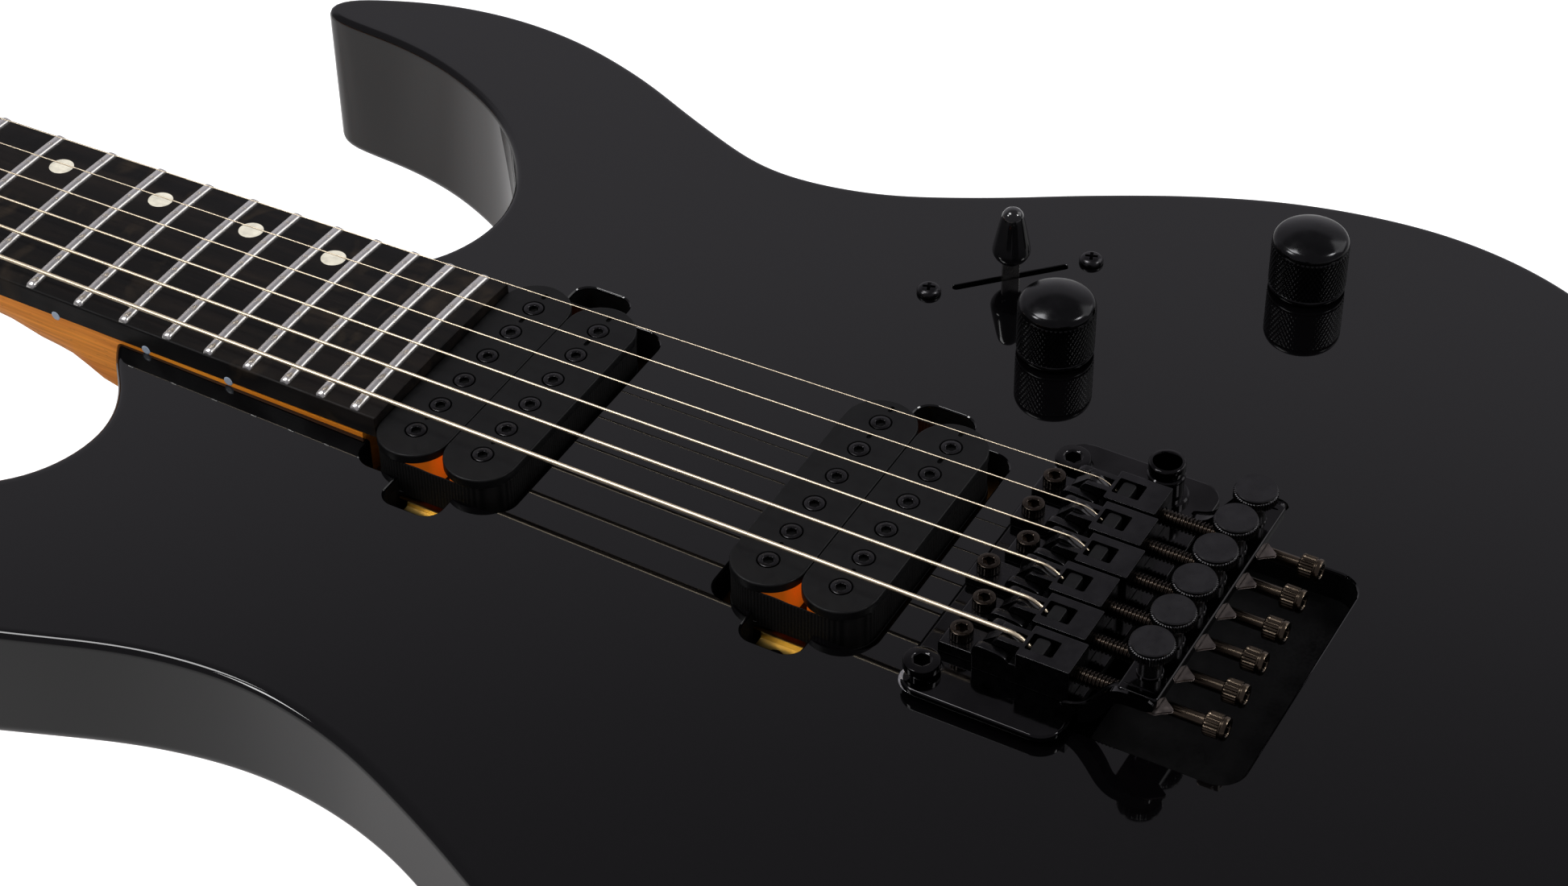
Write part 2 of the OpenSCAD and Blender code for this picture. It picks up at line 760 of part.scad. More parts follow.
module mounting_screws() {
  color("#2c2c30") {
    for (at = neck_screws)
      translate([at.x, at.y, 0.5]) rotate([180, 0, 0]) flush_screw(4.2, 2.05, 37);
    for (at = concat(spring_screws, control_screws))
      translate([at.x, at.y, 0]) rotate([180, 0, 0]) flush_screw(2.4, 1.2, 11);
    for (x = [-claw_screw_x, claw_screw_x])
      translate([x, claw_y - 2.5, 9]) rotate([90, 0, 0]) pan_screw(3.6, 2.4, 2, 40);
    for (k = [0, 1])
      for (x = [-ear_screw_x, ear_screw_x])
        translate([x, pickup_y[k], ear_z(k) + ear_t])
          pan_screw(2.6, 1.8, 1.25, ear_z(k) + ear_t - top + route_depth + 5.5);
    for (side = [-1, 1])
      translate([selector_at.x, selector_at.y, top])
        rotate(selector_angle) translate([side * selector_screw_x, 0, 0]) pan_screw(3, 1.9, 1.5, 8);
    translate([0, tail_y - strap_h, top / 2]) rotate([90, 0, 0]) pan_screw(3.4, 1.8, 1.8, 36);
    translate([-116, horn_y + strap_h, top / 2]) rotate([-90, 0, 0]) pan_screw(3.4, 1.8, 1.8, 36);
    neck_frame() {
      for (at = retainer_screws)
        translate([at.x, at.y, bar_z + bar_r]) pan_screw(2.4, 1.4, 1.5, bar_z + bar_r + 8);
      for (at = truss_screws) translate([at.x, at.y, 1.6]) flush_screw(1.85, 0.98, 7);
    }
  }
}

module control_cover() {
  color("#1a1a1a")
    difference() {
      linear_extrude(cover_t) control_plan(cover_margin - 0.15);
      for (at = control_screws) translate([at.x, at.y, 0]) rotate([180, 0, 0]) flush_hole(2.4, 1.2, 11);
    }
}

module spring_cover() {
  color("#1a1a1a")
    difference() {
      linear_extrude(cover_t) spring_plan(cover_margin - 0.15);
      for (at = spring_screws) translate([at.x, at.y, 0]) rotate([180, 0, 0]) flush_hole(2.4, 1.2, 11);
    }
}

strap_h = 14;
module strap_button() {
  difference() {
    rotate_extrude()
      polygon([
        [1.9, 0], [6.5, 0], [6.5, 1.6], [4, 4], [4, 8.5],
        [5.5, 11], [7.2, 12.4], [7.2, strap_h], [1.9, strap_h]
      ]);
    translate([0, 0, -1]) cylinder(r = 1.85, h = 20);
  }
}

module strap_buttons() {
  color("#26262a") {
    translate([0, tail_y, top / 2]) rotate([90, 0, 0]) strap_button();
    translate([-116, horn_y, top / 2]) rotate([-90, 0, 0]) strap_button();
  }
}

module output_jack() {
  color("#26262a")
    jack_frame()
      rotate([0, 90, 0])
        difference() {
          union() {
            translate([0, 0, jack_back_x]) cylinder(r = 7, h = -jack_back_x);
            cylinder(r = 10.6, h = 1.4);
            translate([0, 0, 1.4]) cylinder(r = 7.6, h = 1.6, $fn = 6);
          }
          translate([0, 0, jack_back_x + 2]) cylinder(r = jack_bore_r, h = 40);
        }
}

// ---- pickups ----

bobbin_half = 34.5;
bobbin_r = 8.98;
cap_t = 2.4;
coil_h = 9;
baseplate_t = 1.2;
ear_t = 1.2;
function ear_z(k) = top + (k == 0 ? -9 : -10);
function flange_z(k) = pickup_top[k] - cap_t;
function baseplate_z(k) = flange_z(k) - coil_h - 1.6 - baseplate_t;

// Both coils' centre lines of pickup k
module coil_rows(k) {
  for (side = [-1, 1])
    translate([0, pickup_y[k] + side * bobbin_row, 0]) children();
}

module pole_spots(k) {
  for (i = [-2.5 : 2.5]) translate([i * pole_pitch[k], 0, 0]) children();
}

module pickup_bobbins() {
  color("#202022")
    for (k = [0, 1])
      coil_rows(k)
        difference() {
          union() {
            translate([0, 0, flange_z(k)]) linear_extrude(cap_t) capsule(bobbin_half, bobbin_r);
            translate([0, 0, flange_z(k) - coil_h]) linear_extrude(coil_h) capsule(29.5, 3.9);
            translate([0, 0, flange_z(k) - coil_h - 1.6])
              linear_extrude(1.6) capsule(bobbin_half, bobbin_r);
          }
          pole_spots(k) translate([0, 0, flange_z(k) - 20]) cylinder(r = 2.55, h = 40);
        }
}

module pickup_coils() {
  color("#a5562a")
    for (k = [0, 1])
      coil_rows(k)
        translate([0, 0, flange_z(k) - coil_h + 0.1])
          linear_extrude(coil_h - 0.2)
            difference() {
              capsule(bobbin_half - 0.8, bobbin_r - 0.8);
              capsule(29.6, 4);
            }
}

module pickup_baseplates() {
  color("#b08d4a")
    for (k = [0, 1])
      translate([0, pickup_y[k], 0]) {
        difference() {
          union() {
            translate([0, 0, baseplate_z(k)])
              linear_extrude(baseplate_t) round_rect([-35, -18.6], [35, 18.6], 3);
            for (side = [-1, 1]) {
              translate([side * 38.4, 0, ear_z(k)])
                linear_extrude(ear_t) round_rect([-5, -6], [5, 6], 1.5);
              box([side * 34.4 - 1, -6, ear_z(k)], [side * 34.4 + 1, 6, baseplate_z(k) + baseplate_t]);
            }
          }
          coil_rows_local() pole_spots(k) translate([0, 0, baseplate_z(k) - 9]) cylinder(r = 2.55, h = 20);
          for (side = [-1, 1]) translate([side * ear_screw_x, 0, ear_z(k) - 1]) cylinder(r = 1.4, h = 4);
        }
      }
}

// Both coils' centre lines when already at the pickup's own centre
module coil_rows_local() {
  for (side = [-1, 1]) translate([0, side * bobbin_row, 0]) children();
}

module pickup_poles() {
  color("#4a4744")
    for (k = [0, 1])
      coil_rows(k)
        pole_spots(k)
          translate([0, 0, pickup_top[k] + 0.35]) cap_screw(2.5, 2.6, 2.2, 13.5, 1.35);
}

// ---- switch and potentiometers ----

pivot_depth = 22;
module selector_frame() {
  translate([selector_at.x, selector_at.y, top]) rotate(selector_angle) children();
}

module switch_frame() {
  color("#8d8a80")
    selector_frame() {
      difference() {
        box([-24.5, -6, -7.2], [24.5, 6, -6]);
        linear_extrude(20, center = true) capsule(17, 1.6);
        for (side = [-1, 1]) translate([side * selector_screw_x, 0, -9]) cylinder(r = 1.6, h = 4);
      }
      for (side = [-1, 1]) difference() {
        box([-19, side * 5.2 - 0.8, -28], [19, side * 5.2 + 0.8, -7.2]);
        translate([0, 0, -pivot_depth]) rotate([90, 0, 0]) cylinder(r = 1.54, h = 20, center = true);
      }
      translate([0, 0, -pivot_depth]) rotate([90, 0, 0]) cylinder(r = 1.5, h = 14, center = true);
      box([-19, 6.1, -31], [19, 7.6, -9]);
    }
}

module selector_lever() {
  color("#b9b3a2")
    selector_frame()
      difference() {
        union() {
          translate([0, 0, -pivot_depth]) rotate([90, 0, 0]) cylinder(r = 5, h = 1.2, center = true);
          box([-2.2, -0.6, -pivot_depth], [2.2, 0.6, 14]);
        }
        translate([0, 0, -pivot_depth]) rotate([90, 0, 0]) cylinder(r = 1.55, h = 4, center = true);
      }
}

module selector_tip() {
  color("#19191b")
    selector_frame()
      difference() {
        rotate_extrude()
          polygon([
            [0, 5.1], [2.4, 5.1], [3.9, 6.4], [4.7, 8.2], [4.6, 9.2],
            [2.75, 18.2], [2.3, 19.6], [1.3, 20.4], [0, 20.6]
          ]);
        box([-2.22, -0.62, 4], [2.22, 0.62, 14.1]);
      }
}

module potentiometers() {
  color("#9a9a9e")
    for (at = [volume_at, tone_at])
      translate([at.x, at.y, control_ceiling])
        difference() {
          union() {
            translate([0, 0, -10]) cylinder(r = 12, h = 10);
            translate([0, 0, -0.1]) cylinder(r = 4, h = 6 + 2.2);
            translate([0, 0, 6]) cylinder(r = 6.4, h = 1.8, $fn = 6);
          }
          translate([0, 0, -8]) cylinder(r = 3 + fit, h = 30);
        }
}

module knob(at) {
  translate([at.x, at.y, top]) {
    difference() {
      intersection() {
        translate([0, 0, 0.7]) cylinder(r = knob_d / 2, h = knob_h - 0.7);
        translate([0, 0, knob_h - 28]) sphere(r = 28, $fn = 96);
      }
      cylinder(r = 7.4, h = 3.2);
      cylinder(r = 3.02, h = 13);
    }
    translate([0, 0, -12]) cylinder(r = 3, h = 24.8);
  }
}

module volume_knob() {
  color("#161618") knob(volume_at);
}

module tone_knob() {
  color("#161618") knob(tone_at);
}

// ---- tremolo ----

plate_top = top + 3.1;
axis_z = top + 2.4;
post_neck_r = 2.5;
knife_r = 0.25;
axis_y = post_y - post_neck_r - knife_r - 0.05;
screw_axis_z = top + 7.5;
shelf_low = top + 13.1;
shelf_t = 2.7;
shelf_y = -37.6;
intonation_y = [6, 6, 10.3, 6, 10, 10];

module pivot_posts() {
  color("#242428")
    for (side = [-1, 1])
      translate([side * post_x, post_y, top])
        difference() {
          union() {
            translate([0, 0, -20]) cylinder(r = 3.4, h = 20);
            cylinder(r = 4, h = 0.6);
            cylinder(r = post_neck_r, h = 4.2);
            translate([0, 0, 3.9]) cylinder(r = 4.15, h = 2.17);
          }
          translate([0, 0, 3.4]) cylinder(r = 1.7, h = 4, $fn = 6);
        }
}

module post_anchors() {
  color("#5a5a5e")
    for (side = [-1, 1])
      translate([side * post_x, post_y, top - 24])
        difference() {
          cylinder(r = 5, h = 23.9);
          translate([0, 0, 2]) cylinder(r = 3.45, h = 30);
        }
}

module base_plate() {
  color("#202024") {
    difference() {
      union() {
        translate([0, 0, plate_top - plate_t])
          linear_extrude(plate_t) round_rect([-44, -24], [46.5, 14], 5);
        box([-29, -21, top + 0.4], [29, 11, plate_top - plate_t + 0.1]);
      }
      for (side = [-1, 1])
        translate([side * post_x, 0, top - 1]) {
          translate([0, post_y, 0]) cylinder(r = 4.5, h = 8);
          box([-4.5, post_y, 0], [4.5, post_y + 10, 8]);
        }
      for (i = [0 : 5])
        translate([bridge_x(i), intonation_y[i], top - 1]) cylinder(r = 1.52, h = 8);
      for (x = [-16, 0, 16])
        translate([x, -16.4, top - 1]) cylinder(r = 2.02, h = 8);
    }
    knife_edges();
    shelf();
    leaf_spring();
  }
}

// The two hardened edges that bear on the pivot posts; their round tips lie on the tilt axis
module knife_edges() {
  for (side = [-1, 1])
    translate([side * post_x - 2.5, axis_y, axis_z])
      rotate([90, 0, 90]) {
        linear_extrude(5)
          polygon([[-3.4, -0.9], [-1.6, -0.9], [-0.03, 0], [-1.2, 0.7], [-3.4, 0.7]]);
        cylinder(r = knife_r, h = 5);
      }
}

// The raised shelf that carries the fine tuners, on two curved brackets
module shelf() {
  bracket = [
    [-21, plate_top - 0.8], [-24.5, plate_top - 0.8], [-28, plate_top + 1.2], [-31, plate_top + 5.5],
    [-33, shelf_low - 0.2], [-42.5, shelf_low], [-42.5, shelf_low + shelf_t],
    [-33.5, shelf_low + shelf_t], [-30, shelf_low - 0.6], [-27, plate_top + 4.5], [-24.2, plate_top + 1.6],
    [-22.2, plate_top + 0.8], [-21, plate_top + 0.8]
  ];
  difference() {
    union() {
      for (side = [-1, 1])
        translate([side * 33.8 - 1.6, 0, 0]) rotate([90, 0, 90]) linear_extrude(3.2) polygon(bracket);
      box([-33.8, -42.5, shelf_low], [33.8, -33.2, shelf_low + shelf_t]);
    }
    for (i = [0 : 5])
      translate([bridge_x(i), shelf_y, shelf_low - 1]) cylinder(r = 1.9 + fit, h = 6);
  }
}

// The sheet spring under the shelf, with a pointed finger beside each screw
module leaf_spring() {
  finger_x = 5.4;
  translate([0, 0, shelf_low - 0.6])
    linear_extrude(0.6) {
      translate([-32.5, -35.6]) square([65, 2]);
      for (i = [0 : 5])
        translate([bridge_x(i) - finger_x, 0])
          polygon([[-2.4, -35], [-2.4, -41.5], [0, -45.4], [2.4, -41.5], [2.4, -35]]);
    }
}

module saddles() {
  color("#1e1e21") for (i = [0 : 5]) translate([bridge_x(i), saddle_shift[i], 0]) saddle(i);
}

// One saddle, with y = 0 where the string leaves it: a frame round the clamp block,
// two prongs beside the string, two lower ears and a foot for the screw
module saddle(i) {
  screw_y = intonation_y[i] - saddle_shift[i];
  floor_z = top + 8.4;
  difference() {
    union() {
      box([-5, -16.6, plate_top], [5, -4, top + 12]);
      box([-5, -4.1, plate_top], [5, 6.2, floor_z]);
      box([-3.7, 6.1, plate_top], [3.7, screw_y + 4, plate_top + 2.9]);
      for (side = [-1, 1]) {
        box([side * 3.95 - 1.05, -3, floor_z - 0.1], [side * 3.95 + 1.05, 6, top + 10]);
        box([side * 2.05 - 0.76, -4.1, floor_z - 0.1], [side * 2.05 + 0.76, 2.9 + 0.3 * side, top + 12]);
      }
    }
    box([-2.6, -11.4, plate_top + 2], [2.6, -4.9, top + 13]);
    box([-1.3, -5, floor_z], [1.3, 4, top + 13]);
    translate([0, -17.5, screw_axis_z]) rotate([-90, 0, 0]) cylinder(r = 2.05, h = 7);
    translate([0, screw_y - 2, plate_top - 1]) linear_extrude(8) rotate(90) capsule(4.4, 1.65);
  }
  box([-1.29, 0.3, floor_z - 0.1], [1.29, 1.2, bridge_z(i) - gauge_r(i) - 0.03]);
}

module clamp_blocks() {
  color("#2b2b2f")
    for (i = [0 : 5])
      translate([bridge_x(i), saddle_shift[i], 0])
        box([-2.5, -9.2, plate_top + 2.1], [2.5, -5.9, top + 11.6]);
}

module intonation_screws() {
  color("#3a3632")
    for (i = [0 : 5])
      translate([bridge_x(i), intonation_y[i], plate_top + 2.9 + 2.7]) cap_screw(2.6, 2.7, 1.48, 4.6, 1.3);
}

// Long screws that push each clamp block forward on its string
module lock_screws() {
  color("#6d6556")
    for (i = [0 : 5]) {
      start = saddle_shift[i] - 9.25;
      head_end = -54.3 + 0.3 * saddle_shift[i];
      translate([bridge_x(i), 0, screw_axis_z]) {
        translate([0, start, 0]) rotate([90, 0, 0]) cylinder(r = 2, h = start + 32);
        translate([0, -31.9, 0]) rotate([90, 0, 0]) cylinder(r = 1.5, h = -head_end - 4 - 31.9);
        translate([0, head_end + 5, 0])
          rotate([90, 0, 0])
            difference() {
              cylinder(r = 2.75, h = 5);
              translate([0, 0, 2.5]) cylinder(r = 1.4, h = 4, $fn = 6);
            }
      }
    }
}

module sustain_block() {
  color("#77757a")
    difference() {
      box([-27.5, -9, top - 34], [27.5, 5, top + 0.35]);
      for (x = [-22, -11, 0, 11, 22])
        translate([x, -2, top - 35]) cylinder(r = 1.4, h = 9);
    }
}

collar_at = [38, -12.3];
module arm_collar() {
  color("#242428")
    translate([collar_at.x, collar_at.y, plate_top])
      difference() {
        union() {
          cylinder(r = 5.4, h = 1.4);
          cylinder(r = 4.25, h = 10.4);
        }
        translate([0, 0, 0.8]) cylinder(r = 3.1, h = 12);
      }
}

spring_x = [-22, 0, 22];
spring_z = 6.4;
module trem_springs() {
  color("#a9a9ad")
    for (x = spring_x) {
      translate([x, 24, spring_z])
        rotate([-90, 0, 0])
          difference() {
            cylinder(r = 3.8, h = 64);
            translate([0, 0, -1]) cylinder(r = 2.8, h = 66);
          }
      rod([x, -2, spring_z], [x, 25, spring_z + 3.2], 1);
      rod([x, -2, spring_z - 0.9], [x, -2, 14], 1);
      rod([x, 87, spring_z + 3.2], [x, claw_y - 3.2, spring_z + 3.2], 1);
    }
}

module spring_claw() {
  color("#8f8f94")
    difference() {
      box([-29, claw_y - 2.5, 3], [29, claw_y, 15.5]);
      for (x = [-claw_screw_x, claw_screw_x])
        translate([x, claw_y - 5, 9]) rotate([-90, 0, 0]) cylinder(r = 2.1, h = 10);
    }
}

module fine_tuner(i) {
  head_low = top + 21.9;
  color("#232327")
    translate([bridge_x(i), shelf_y, 0]) {
      translate([0, 0, head_low]) cylinder(r = fine_tuner_d / 2, h = 3);
      translate([0, 0, shelf_low + shelf_t + 0.1]) cylinder(r = 2.6, h = head_low - shelf_low - shelf_t);
      translate([0, 0, top + 9.8]) cylinder(r = 1.9, h = 10);
    }
}

body();
neck();
fretboard();
frets();
inlay_dots();
truss_rod();
truss_rod_cover();
nut_base();
nut_clamps();
nut_screws();
string_retainer();
tuner_housings();
tuner_bushings();
neck_ferrules();
mounting_screws();
control_cover();
spring_cover();
strap_buttons();
output_jack();
pickup_bobbins();
pickup_coils();
pickup_baseplates();
pickup_poles();
switch_frame();
potentiometers();
pivot_posts();
post_anchors();
spring_claw();
trem_springs();
base_plate();
saddles();
clamp_blocks();
intonation_screws();
lock_screws();
sustain_block();
arm_collar();
strings_plain();
strings_wound();
volume_knob();
tone_knob();
selector_lever();
selector_tip();
fine_tuner(0);  // fine_tuner_1
fine_tuner(1);  // fine_tuner_2
fine_tuner(2);  // fine_tuner_3
fine_tuner(3);  // fine_tuner_4
fine_tuner(4);  // fine_tuner_5
fine_tuner(5);  // fine_tuner_6
tuner_post(0);  // tuner_post_1
tuner_post(1);  // tuner_post_2
tuner_post(2);  // tuner_post_3
tuner_post(3);  // tuner_post_4
tuner_post(4);  // tuner_post_5
tuner_post(5);  // tuner_post_6
tuner_button(0);  // tuner_button_1
tuner_button(1);  // tuner_button_2
tuner_button(2);  // tuner_button_3
tuner_button(3);  // tuner_button_4
tuner_button(4);  // tuner_button_5
tuner_button(5);  // tuner_button_6
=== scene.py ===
"""The looks of a solid-body electric guitar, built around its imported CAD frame.

Shapes are written in millimetres in the frame's own axes: +X to the treble side,
+Y to the headstock, +Z out of the playing face, z = 0 on the flat back.
"""
import json
import math

import bmesh
import bpy
from mathutils import Matrix, Vector

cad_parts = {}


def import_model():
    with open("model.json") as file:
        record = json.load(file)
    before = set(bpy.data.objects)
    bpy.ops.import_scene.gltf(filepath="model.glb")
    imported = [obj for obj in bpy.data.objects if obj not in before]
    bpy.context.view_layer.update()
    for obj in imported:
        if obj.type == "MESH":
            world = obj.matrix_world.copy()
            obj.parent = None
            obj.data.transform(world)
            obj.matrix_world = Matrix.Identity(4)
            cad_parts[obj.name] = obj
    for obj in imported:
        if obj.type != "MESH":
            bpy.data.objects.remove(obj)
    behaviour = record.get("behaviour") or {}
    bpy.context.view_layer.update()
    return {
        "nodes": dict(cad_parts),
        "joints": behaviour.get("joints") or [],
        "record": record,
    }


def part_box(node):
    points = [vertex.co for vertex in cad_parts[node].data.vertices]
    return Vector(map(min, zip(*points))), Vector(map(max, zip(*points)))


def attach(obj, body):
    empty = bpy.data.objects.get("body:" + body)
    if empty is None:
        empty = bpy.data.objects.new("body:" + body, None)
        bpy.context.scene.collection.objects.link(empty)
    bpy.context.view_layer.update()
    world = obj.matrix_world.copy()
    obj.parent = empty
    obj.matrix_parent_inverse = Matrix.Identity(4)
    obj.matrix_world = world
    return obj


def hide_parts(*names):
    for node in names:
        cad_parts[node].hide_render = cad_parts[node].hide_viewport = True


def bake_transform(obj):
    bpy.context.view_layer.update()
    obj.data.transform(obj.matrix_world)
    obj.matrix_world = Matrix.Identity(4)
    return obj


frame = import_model()

# ---- what the frame says about sizes and places, in millimetres ----

MM = 0.001
JOINTS = {joint["name"]: joint for joint in frame["joints"]}


def box(node):
    """Lowest and highest corner of a CAD node, in millimetres."""
    low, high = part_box(node)
    return low / MM, high / MM


def pivot(joint):
    """A joint's place, in millimetres."""
    return Vector(JOINTS[joint]["pos_m"]) / MM


def mount(name):
    """A mount's place, in millimetres, and the way it opens."""
    row = next(row for row in frame["record"]["mounts"] if row["name"] == name)
    return Vector(row["pos_m"]) / MM, Vector(row["axis"])


def welded(node):
    """A bmesh copy of a CAD node whose doubled points are merged."""
    bm = bmesh.new()
    bm.from_mesh(frame["nodes"][node].data)
    bmesh.ops.remove_doubles(bm, verts=bm.verts, dist=1e-6)
    return bm


def solids(node):
    """Boxes (low, high), in millimetres, of a node's separate solids, from bass to treble."""
    bm = welded(node)
    found = []
    seen = set()
    for first in bm.verts:
        if first.index in seen:
            continue
        seen.add(first.index)
        stack = [first]
        low, high = first.co.copy(), first.co.copy()
        while stack:
            vert = stack.pop()
            low = Vector(map(min, low, vert.co))
            high = Vector(map(max, high, vert.co))
            for edge in vert.link_edges:
                other = edge.other_vert(vert)
                if other.index not in seen:
                    seen.add(other.index)
                    stack.append(other)
        found.append((low / MM, high / MM))
    bm.free()
    return sorted(found, key=lambda b: (round(b[0].x, 2), round(b[0].y, 2)))


def centres(node):
    """Middles of a node's separate solids, in millimetres, from bass to treble."""
    return [(low + high) / 2 for low, high in solids(node)]


def area(loop):
    """Signed area of a flat loop, above zero when it runs anticlockwise."""
    return sum(a.x * b.y - b.x * a.y for a, b in zip(loop, loop[1:] + loop[:1])) / 2


def bent(loop, degrees=0.25):
    """The loop without the points that lie on a straight run."""
    kept = []
    count = len(loop)
    for i, p in enumerate(loop):
        before = p - loop[i - 1]
        after = loop[(i + 1) % count] - p
        if before.length < 1e-4:
            continue
        if abs(before.angle_signed(after, 0)) > math.radians(degrees):
            kept.append(p)
    return kept


def section(node, z):
    """Loops where a level plane cuts a CAD node, biggest first, anticlockwise."""
    bm = welded(node)
    everything = bm.verts[:] + bm.edges[:] + bm.faces[:]
    cut = bmesh.ops.bisect_plane(bm, geom=everything, plane_co=(0, 0, z * MM), plane_no=(0, 0, 1))
    edges = [item for item in cut["geom_cut"] if isinstance(item, bmesh.types.BMEdge)]
    links = {}
    for edge in edges:
        for vert in edge.verts:
            links.setdefault(vert, []).append(edge.other_vert(vert))
    loops = []
    used = set()
    for start in links:
        if start in used:
            continue
        loop = [start]
        used.add(start)
        while True:
            ahead = [v for v in links[loop[-1]] if v not in used]
            if not ahead:
                break
            loop.append(ahead[0])
            used.add(ahead[0])
        flat = bent([Vector((v.co.x / MM, v.co.y / MM)) for v in loop])
        if len(flat) > 2:
            loops.append(flat if area(flat) > 0 else flat[::-1])
    bm.free()
    return sorted(loops, key=area, reverse=True)


def holds(loop, x, y):
    """True if a loop goes round the point."""
    inside = False
    for a, b in zip(loop, loop[1:] + loop[:1]):
        if (a.y > y) != (b.y > y) and x < (b.x - a.x) * (y - a.y) / (b.y - a.y) + a.x:
            inside = not inside
    return inside


def loop_round(loops, x, y):
    """The smallest loop that goes round a point."""
    return [loop for loop in loops if holds(loop, x, y)][-1]


# Body
BODY_T = box("body")[1].z
BEVEL_ANGLE = math.radians(208.6)
BEVEL_START = 92
BEVEL_R = 180
SCOOP_TILT = math.radians(17.1)
SCOOP_TURN = math.radians(40.6)
SCOOP_SLOPE = math.radians(25)
SCOOP_AT = Vector((-60, 80))
TOP_EDGE = 1.8
BACK_EDGE = 3.5

# Points inside the body's openings, seen from above
TUNER_RECESS = (0, -50)
BLOCK_HOLE = (0, -10)
SPRING_CAVITY = (0, 45)
CONTROL_CAVITY = (100, 5)

# Neck: its frame has its origin under the body end of the fretboard
NECK_UP = Vector(JOINTS["tuner_post_1_turn"]["axis"])
NECK_TILT = math.atan2(NECK_UP.y, NECK_UP.z)
BOARD_LOW, BOARD_HIGH = box("fretboard")
NUT_LOW, NUT_HIGH = box("nut_base")
BOARD_L = (NUT_LOW.y - BOARD_LOW.y) / math.cos(NECK_TILT) - 0.02
BOARD_END_W = BOARD_HIGH.x - BOARD_LOW.x
NUT_W = NUT_HIGH.x - NUT_LOW.x
BOARD_RADIUS = 400
BOARD_H = 6.6
FRET_H = 1.1
FRET_W = 2.5
FRET_COUNT = len(solids("frets"))
SCALE_LENGTH = BOARD_LOW.y + BOARD_L
HEAD_T = 14
NECK_FRAME = Matrix.Translation((0, BOARD_LOW.y, BOARD_LOW.z + BOARD_L * math.sin(NECK_TILT)))
NECK_FRAME = NECK_FRAME @ Matrix.Rotation(-NECK_TILT, 4, "X")

# Strings
GAUGES = [1.17, 0.91, 0.66, 0.43, 0.33, 0.25]
STRING_X = [pivot(f"fine_tuner_{i + 1}_turn").x for i in range(6)]
STRING_H = 12.4  # outer strings over the body, at the saddles
NUT_PITCH = 7.28
BAR_Z = 8.2  # retainer bar behind the nut: its middle, over the neck's own origin, and its radius
BAR_R = 2.5
WIND_TOP = 8.5
WIND_TURNS = 2.6
WIND_STEPS = 24
SPRING_Z = 6.4
SPRING_R = 3.25
PLATE_TOP = BODY_T + 3.1
SADDLE_REACH = 16.6  # from the back of a saddle to where its string leaves it

# ---- flat outlines ----


def arc(cx, cy, r, start, end, steps):
    """Points of an arc, angles in degrees."""
    return [
        Vector((cx + r * math.cos(math.radians(a)), cy + r * math.sin(math.radians(a))))
        for a in (start + (end - start) * k / steps for k in range(steps + 1))
    ]


def round_rect(x0, y0, x1, y1, r, steps=6):
    """A rectangle with rounded corners, anticlockwise."""
    return (
        arc(x1 - r, y0 + r, r, -90, 0, steps)
        + arc(x1 - r, y1 - r, r, 0, 90, steps)
        + arc(x0 + r, y1 - r, r, 90, 180, steps)
        + arc(x0 + r, y0 + r, r, 180, 270, steps)
    )


def capsule(half, r, steps=20):
    """A bar with round ends, of full length 2 * half along X, anticlockwise."""
    return arc(half - r, 0, r, -90, 90, steps) + arc(r - half, 0, r, 90, 270, steps)


def polar(radius, sides):
    """A closed loop whose distance from its centre is a number or a function of the angle."""
    loop = []
    for k in range(sides):
        a = 2 * math.pi * k / sides
        r = radius(a) if callable(radius) else radius
        loop.append(Vector((r * math.cos(a), r * math.sin(a))))
    return loop


def hexagon(flat):
    """Radius of a hexagon, whose flats are at distance flat, as a function of the angle."""
    def radius(a):
        return flat / math.cos((a + math.pi / 6) % (math.pi / 3) - math.pi / 6)
    return radius


def ring(loop, z):
    """A flat loop lifted to z, a number or a function of x and y."""
    return [(p.x, p.y, z(p.x, p.y) if callable(z) else z) for p in loop]


def inset(loop, d):
    """The loop moved inwards by d along its own normals."""
    moved = []
    count = len(loop)
    for i, p in enumerate(loop):
        a = (p - loop[i - 1]).normalized()
        b = (loop[(i + 1) % count] - p).normalized()
        na, nb = Vector((-a.y, a.x)), Vector((-b.y, b.x))
        mid = na + nb
        if mid.length < 1e-6:
            mid = na
        mid = mid.normalized()
        moved.append(p + mid * (d / max(0.35, mid.dot(na))))
    return moved


def slope(before, here, after):
    """Direction of a smooth curve at a point, which leans to the nearer of its neighbours."""
    back, ahead = here - before, after - here
    near, far = max(back.length, 1e-6), max(ahead.length, 1e-6)
    return (back / near * far + ahead / far * near) / (near + far)


def spline(points, spacing):
    """A smooth closed curve through points, cut into even steps of about the spacing."""
    count = len(points)
    dense = []
    for i in range(count):
        a, b = points[i], points[(i + 1) % count]
        before, after = points[i - 1], points[(i + 2) % count]
        length = (b - a).length
        slope_a = slope(before, a, b)
        slope_b = slope(a, b, after)
        for k in range(8):
            t = k / 8
            dense.append((2 * t**3 - 3 * t**2 + 1) * a + (t**3 - 2 * t**2 + t) * length * slope_a
                         + (3 * t**2 - 2 * t**3) * b + (t**3 - t**2) * length * slope_b)
    return even(dense, spacing)


def even(loop, spacing):
    """The closed loop cut again into even steps."""
    lengths = [(b - a).length for a, b in zip(loop, loop[1:] + loop[:1])]
    total = sum(lengths)
    count = max(8, round(total / spacing))
    result = []
    i, gone = 0, 0.0
    for k in range(count):
        target = total * k / count
        while gone + lengths[i] < target:
            gone += lengths[i]
            i += 1
        t = (target - gone) / lengths[i]
        result.append(loop[i].lerp(loop[(i + 1) % len(loop)], t))
    return result


def relaxed(loop, passes):
    """The loop with its small wobbles evened out."""
    for _ in range(passes):
        count = len(loop)
        loop = [(loop[i - 1] + 2 * loop[i] + loop[(i + 1) % count]) / 4 for i in range(count)]
    return loop


# ---- solid forms: points in millimetres, and faces ----

